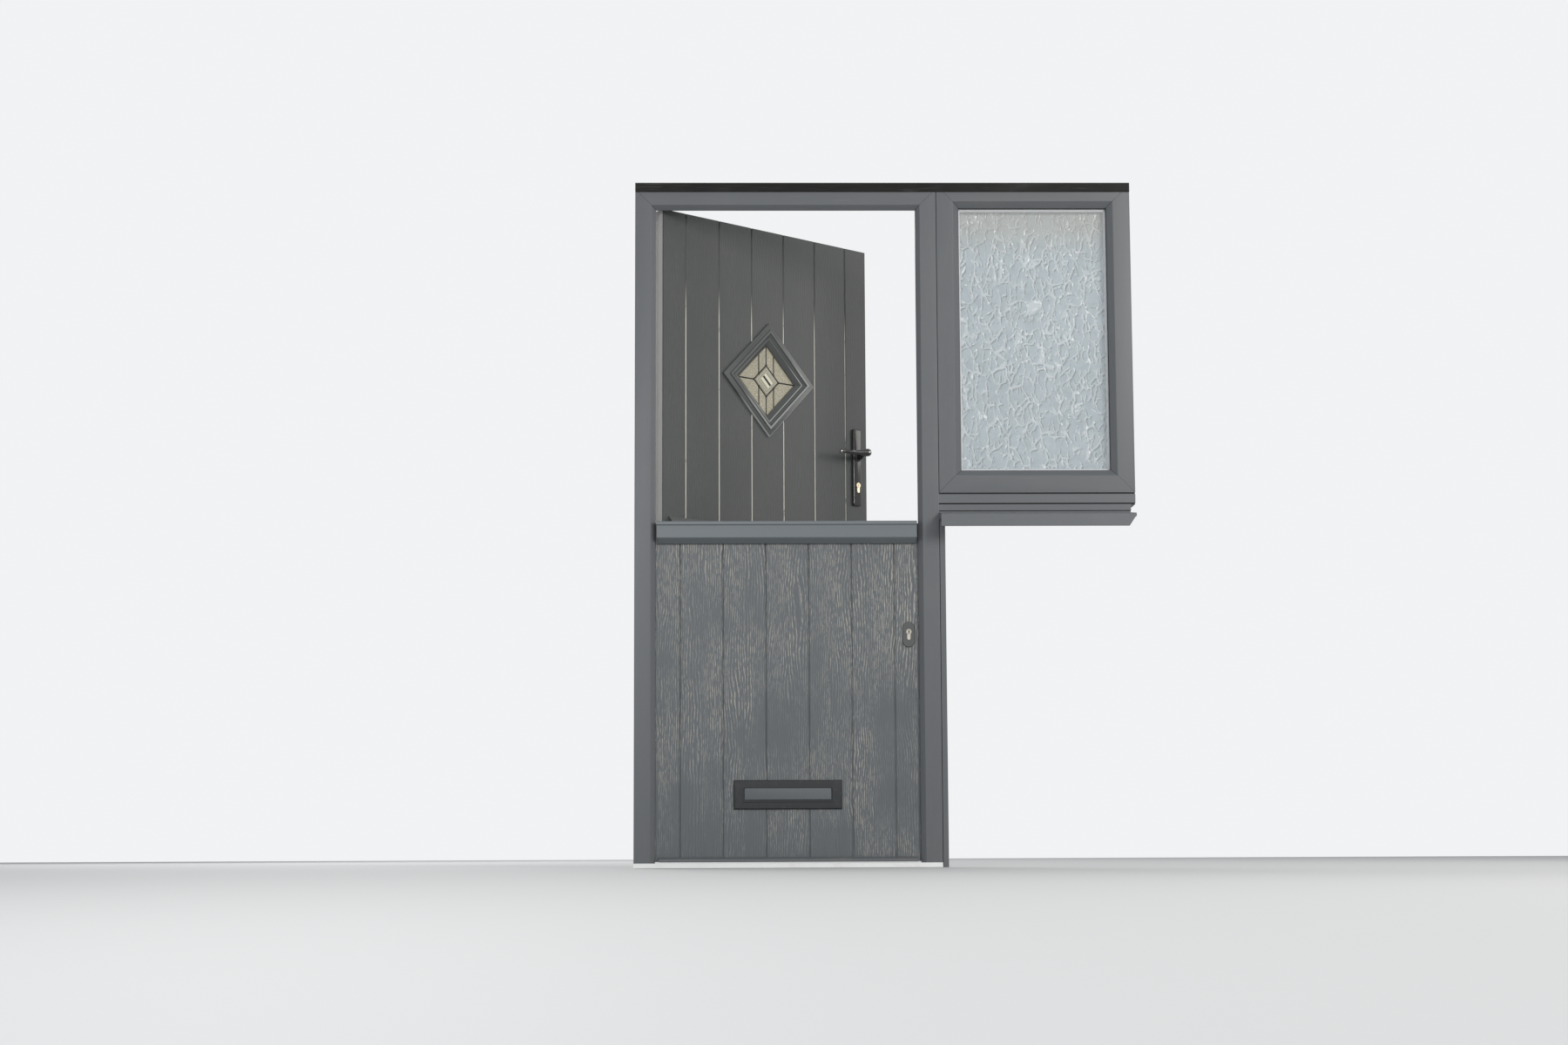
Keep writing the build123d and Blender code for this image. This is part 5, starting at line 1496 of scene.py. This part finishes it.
@dataclass
class Screws(Assembly):
    """Cross-headed screws, all of one set in one piece.

    Args:
        radius: Radius of a head.
        rise: Height of its middle.
        cross_half: Half the width of an arm of its cross.
        cross_reach: How far the arms reach from its middle.
        leaf_columns: Where the two columns stand in the leaf's half of a hinge.
        jamb_columns: Where they stand in the jamb's half.
        hinge_rows: Heights of the rows from the hinge's middle.
        forend_x: Where the face of a lock's forend lies.
    """

    radius: float = 3.8
    rise: float = 0.9
    cross_half: float = 0.75
    cross_reach: float = 2.4
    leaf_columns: Pair = (-390.0, -377.0)
    jamb_columns: Pair = (-445.0, -434.0)
    hinge_rows: tuple[float, ...] = (-38.0, -13.0, 13.0, 38.0)
    forend_x: float = 410.9

    def heads(self, name: str, body: str, centres: list[Point], way: Point) -> None:
        """Makes a set of domed heads with a cross-shaped recess.

        The height falls with the square of the radius, from its rise at the middle, by 0.5 mm at
        the edge; inside the cross, where either coordinate is under its half width and the radius
        under its reach, it drops by 1 mm.

        Args:
            name: The piece's name.
            body: The body it rides on.
            centres: Points where the heads sit.
            way: The direction that they face, a unit vector along x or y.
        """
        r = self.radius * np.array([0.0, 0.12, 0.22, 0.34, 0.46, 0.58, 0.66, 0.82, 0.95, 1.0, 1.0])
        t = np.linspace(0.0, 2 * math.pi, 32, endpoint=False)
        a, b = r[:, None] * np.cos(t), r[:, None] * np.sin(t)
        cross = (np.minimum(np.abs(a), np.abs(b)) < self.cross_half) & (r[:, None] < self.cross_reach)
        h = self.rise - 0.5 * (r[:, None] / self.radius) ** 2 - np.where(cross, 1.0, 0.0)
        h[-1] = -0.4
        w = np.array(way)
        u = np.cross(w, UP)
        head = a[..., None] * u + b[..., None] * np.cross(w, u) + h[..., None] * w
        made = Draft()
        for centre in centres:
            rings = head + np.array(centre)
            made.skin(rings).cap(rings[-1])
        self.add(made, name, "screw_steel", body, "lock_steel", sharp=40.0)

    def build(self) -> None:
        """Makes every set: zigzags in the hinges, then rows by their places across and up."""
        right, left = (1.0, 0.0, 0.0), (-1.0, 0.0, 0.0)
        for word, hinges in HINGE_HEIGHTS.items():
            rows = list(enumerate(hinge + row for hinge in hinges for row in self.hinge_rows))
            self.heads(f"{word}_leaf_hinge_screws", f"{word}_leaf",
                       [(self.leaf_columns[i % 2], 37.0, z) for i, z in rows], BACK)
            self.heads(f"{word}_jamb_hinge_screws", "frame",
                       [(self.jamb_columns[i % 2], 38.0, z) for i, z in rows], BACK)
        for name, body, way, places, y, heights in (
            ("top_forend", "top_leaf", right, (self.forend_x,), LEAF_MIDDLE,
             (1120.0, 1400.0, 1600.0, 1800.0, 1940.0)),
            ("bottom_forend", "bottom_leaf", right, (self.forend_x,), LEAF_MIDDLE,
             (440.0, 620.0, 810.0, 940.0)),
            ("keep", "frame", left, (413.3,), LEAF_MIDDLE, (1243.0, 1298.0, 1347.0, 713.0, 787.0)),
            ("bolt_plate", "bottom_leaf", BACK, (319.0, 341.0), 37.0, (902.0, 945.0, 990.0)),
            ("plate", "top_leaf", BACK, (LOCK_X,), 44.0, (1178.0, 1406.0)),
            ("letter", "bottom_leaf", BACK, (-155.0, 155.0), 42.0, (217.0,)),
        ):
            self.heads(f"{name}_screws", body, [(x, y, z) for x in places for z in heights], way)


@dataclass
class BarrelBolt(Assembly):
    """The turned rod and knob of the barrel bolt, and round caps on the hinge pins.

    Args:
        x: Where the rod runs.
        y: Its depth.
        knob_height: Height of the knob.
        pin_half: Half the length of a hinge pin.
    """

    x: float = 330.0
    y: float = 44.5
    knob_height: float = 930.0
    pin_half: float = 50.0

    def build(self) -> None:
        """Makes the rod and the caps; the cap over a pin is smaller than the one below it."""
        rod = [(0.0, 905.0), (4.2, 905.0), (5.0, 905.8), (5.0, 1031.5), (4.6, 1032.8), (3.4, 1034.0),
               (0.0, 1034.0)]
        knob = [(0.0, 3.0), (4.0, 3.0), (3.4, 8.0), (3.6, 18.0), (4.4, 20.4), (6.0, 21.4), (6.6, 23.0),
                (6.6, 25.0), (6.0, 26.4), (4.0, 27.0), (0.0, 27.0)]
        made = Draft().lathe(rod, (self.x, self.y, 0.0), UP, 36)
        made.lathe(knob, (self.x, self.y, self.knob_height), BACK)
        self.add(made, "bolt_rod", "bolt_chrome", "rod", "bolt_chrome", "barrel_bolt_rod", sharp=30.0)
        low = [(0.0, 0.0), (7.6, 0.0), (7.8, 0.6), (7.6, 2.0), (6.4, 3.4), (4.0, 4.2), (0.0, 4.6)]
        top = [(r * 0.55, h * 0.6) for r, h in low]
        caps = Draft()
        for height in sum(HINGE_HEIGHTS.values(), ()):
            caps.lathe(low, (HINGE_X, HINGE_Y, height - self.pin_half), DOWN, 28)
            caps.lathe(top, (HINGE_X, HINGE_Y, height + self.pin_half), UP, 28)
        self.add(caps, "pin_caps", "fitting_white", "frame", "white_fittings", sharp=35.0)


@dataclass
class Glazing(Assembly):
    """Rubber wedges round the glass of the side light, outside and inside.

    Args:
        sight: How far the glass's visible edge lies inside the side light's outline.
    """

    sight: float = 70.0

    def build(self) -> None:
        """Makes both rings."""
        half = tuple(size - self.sight for size in LIGHT_HALF)
        outside = softened([(-0.4, -16.0), (-0.4, -16.8), (0.6, -17.0), (1.6, -14.2), (1.6, -12.05),
                            (-0.4, -12.05)], 0.5)
        inside = softened([(0.6, 16.05), (4.2, 16.05), (4.2, 17.6), (2.2, 19.6), (0.6, 19.6)], 0.8)
        for name, profile in (("outside_wedge", outside), ("inside_wedge", inside)):
            self.add(Draft().framed(profile, LIGHT_CENTRE, half), name, "seal_rubber", "frame",
                     "seal_rubber")


# Stage


@dataclass
class Studio:
    """Floor, lights, world and camera, in metres.

    Args:
        floor_colour: Colour of the floor.
        sky: Colour of the background.
        viewpoint: Where the camera stands.
        tilt: Its pitch, yaw and roll in degrees.
        lens: Its focal length in millimetres.
        rise: How far its picture is shifted up, as a share of the width.
    """

    floor_colour: Colour = (0.66, 0.66, 0.65)
    sky: Colour = (0.88, 0.89, 0.90)
    viewpoint: Point = (-0.103, -6.70, 0.05)
    tilt: Point = (5.92, -0.80, -0.243)
    lens: float = 51.2
    rise: float = 0.062

    def floor(self) -> None:
        """Makes the floor, a plain pale sheet just below the threshold."""
        g = Graph(bpy.data.materials.new("floor_pale"))
        soft = g.noise(g.position(), 1.5)
        material = g.surface(g.blend(soft * 0.15, self.floor_colour, (0.62, 0.62, 0.61)), roughness=0.75)
        mesh = bpy.data.meshes.new("floor")
        corners = [(x, y, -0.0005) for y in (-10.0, 7.0) for x in (-9.0, 9.0)]
        mesh.from_pydata(corners, [], [(0, 1, 3, 2)])
        mesh.materials.append(material)
        floor = linked("floor", mesh)

    def world(self) -> None:
        """Lights the scene evenly, and shows a pale background to the camera, gloss and glass."""
        bpy.context.scene.world = bpy.data.worlds.new("studio")
        g = Graph(bpy.context.scene.world, "OutputWorld")
        seen = g.add("LightPath", output="Is Camera Ray")
        for kind in ("Is Glossy Ray", "Is Transmission Ray"):
            seen = seen.larger(g.add("LightPath", output=kind))
        even = g.add("Background", {0: (0.86, 0.90, 0.96, 1.0), 1: 0.42})
        shown = g.add("Background", {0: (*self.sky, 1.0), 1: 1.0})
        g.end(g.add("MixShader", {0: seen, 1: even, 2: shown}))

    def stand(self, name: str, data: bpy.types.ID, at: Point, axes: list[np.ndarray]) -> bpy.types.Object:
        """Puts a lamp or camera in its place.

        Args:
            name: Its name.
            data: Its data.
            at: Where it stands.
            axes: Its own three axes, as unit vectors; it looks against the third.

        Returns:
            The object.
        """
        thing = linked(name, data)
        thing.matrix_world = Matrix.Translation(at) @ Matrix(np.transpose(axes).tolist()).to_4x4()
        return thing

    def lamp(self, name: str, at: Point, to: Point, size: Pair, power: float, colour: Colour) -> None:
        """Adds a soft rectangular lamp.

        Args:
            name: Its name.
            at: Where it stands.
            to: What it points at.
            size: Width and height.
            power: Watts.
            colour: Colour of its light.
        """
        data = bpy.data.lights.new(name, "AREA")
        data.shape = "RECTANGLE"
        data.size, data.size_y = size
        data.energy, data.color = power, colour
        way = np.array(at) - np.array(to)
        way = way / np.linalg.norm(way)
        side = np.cross(UP, way)
        side = side / np.linalg.norm(side)
        self.stand(name, data, at, [side, np.cross(way, side), way])

    def camera(self) -> None:
        """Places the camera low in front of the door, as in the photo."""
        pitch, yaw, roll = np.radians(self.tilt)
        ahead = np.array([-math.sin(yaw) * math.cos(pitch), math.cos(yaw) * math.cos(pitch), math.sin(pitch)])
        right = np.array([math.cos(yaw), math.sin(yaw), 0.0])
        up = np.cross(right, ahead)
        side = math.cos(roll) * right + math.sin(roll) * up
        top = -math.sin(roll) * right + math.cos(roll) * up
        data = bpy.data.cameras.new("camera")
        data.sensor_width, data.lens, data.shift_y = 36.0, self.lens, self.rise
        bpy.context.scene.camera = self.stand("camera", data, self.viewpoint, [side, top, -ahead])

    def build(self) -> None:
        """Makes the stage."""
        self.floor()
        self.world()
        self.lamp("key", (3.6, -5.2, 3.2), (0.3, 0.0, 1.0), (2.0, 2.0), 165.0, (1.0, 0.98, 0.95))
        self.lamp("front", (-1.4, -7.6, 2.3), (0.2, 0.0, 0.9), (1.1, 1.1), 85.0, (0.96, 0.98, 1.0))
        self.lamp("side", (3.9, 0.35, 2.4), (0.0, 0.3, 1.5), (1.6, 1.6), 22.0, (1.0, 0.98, 0.94))
        self.lamp("back", (-2.5, 5.0, 3.2), (0.2, 0.2, 1.1), (3.0, 2.4), 120.0, (1.0, 1.0, 1.0))
        self.camera()
        bpy.context.scene.view_settings.view_transform = "Standard"


def main() -> None:
    """Builds the stage, dresses the nodes and adds the pieces in order."""
    logging.basicConfig(level=logging.INFO, format="%(message)s")
    Studio().build()
    finishes = Finishes()
    dress_nodes(finishes)
    for group in (FrameFoil, MeetingBars, Glazing, DiamondLight, LeverSet, LetterPlate, BarrelBolt, Screws):
        log.info("building %s", group.__name__)
        group(finishes).build()


if __name__ == "__main__":
    main()
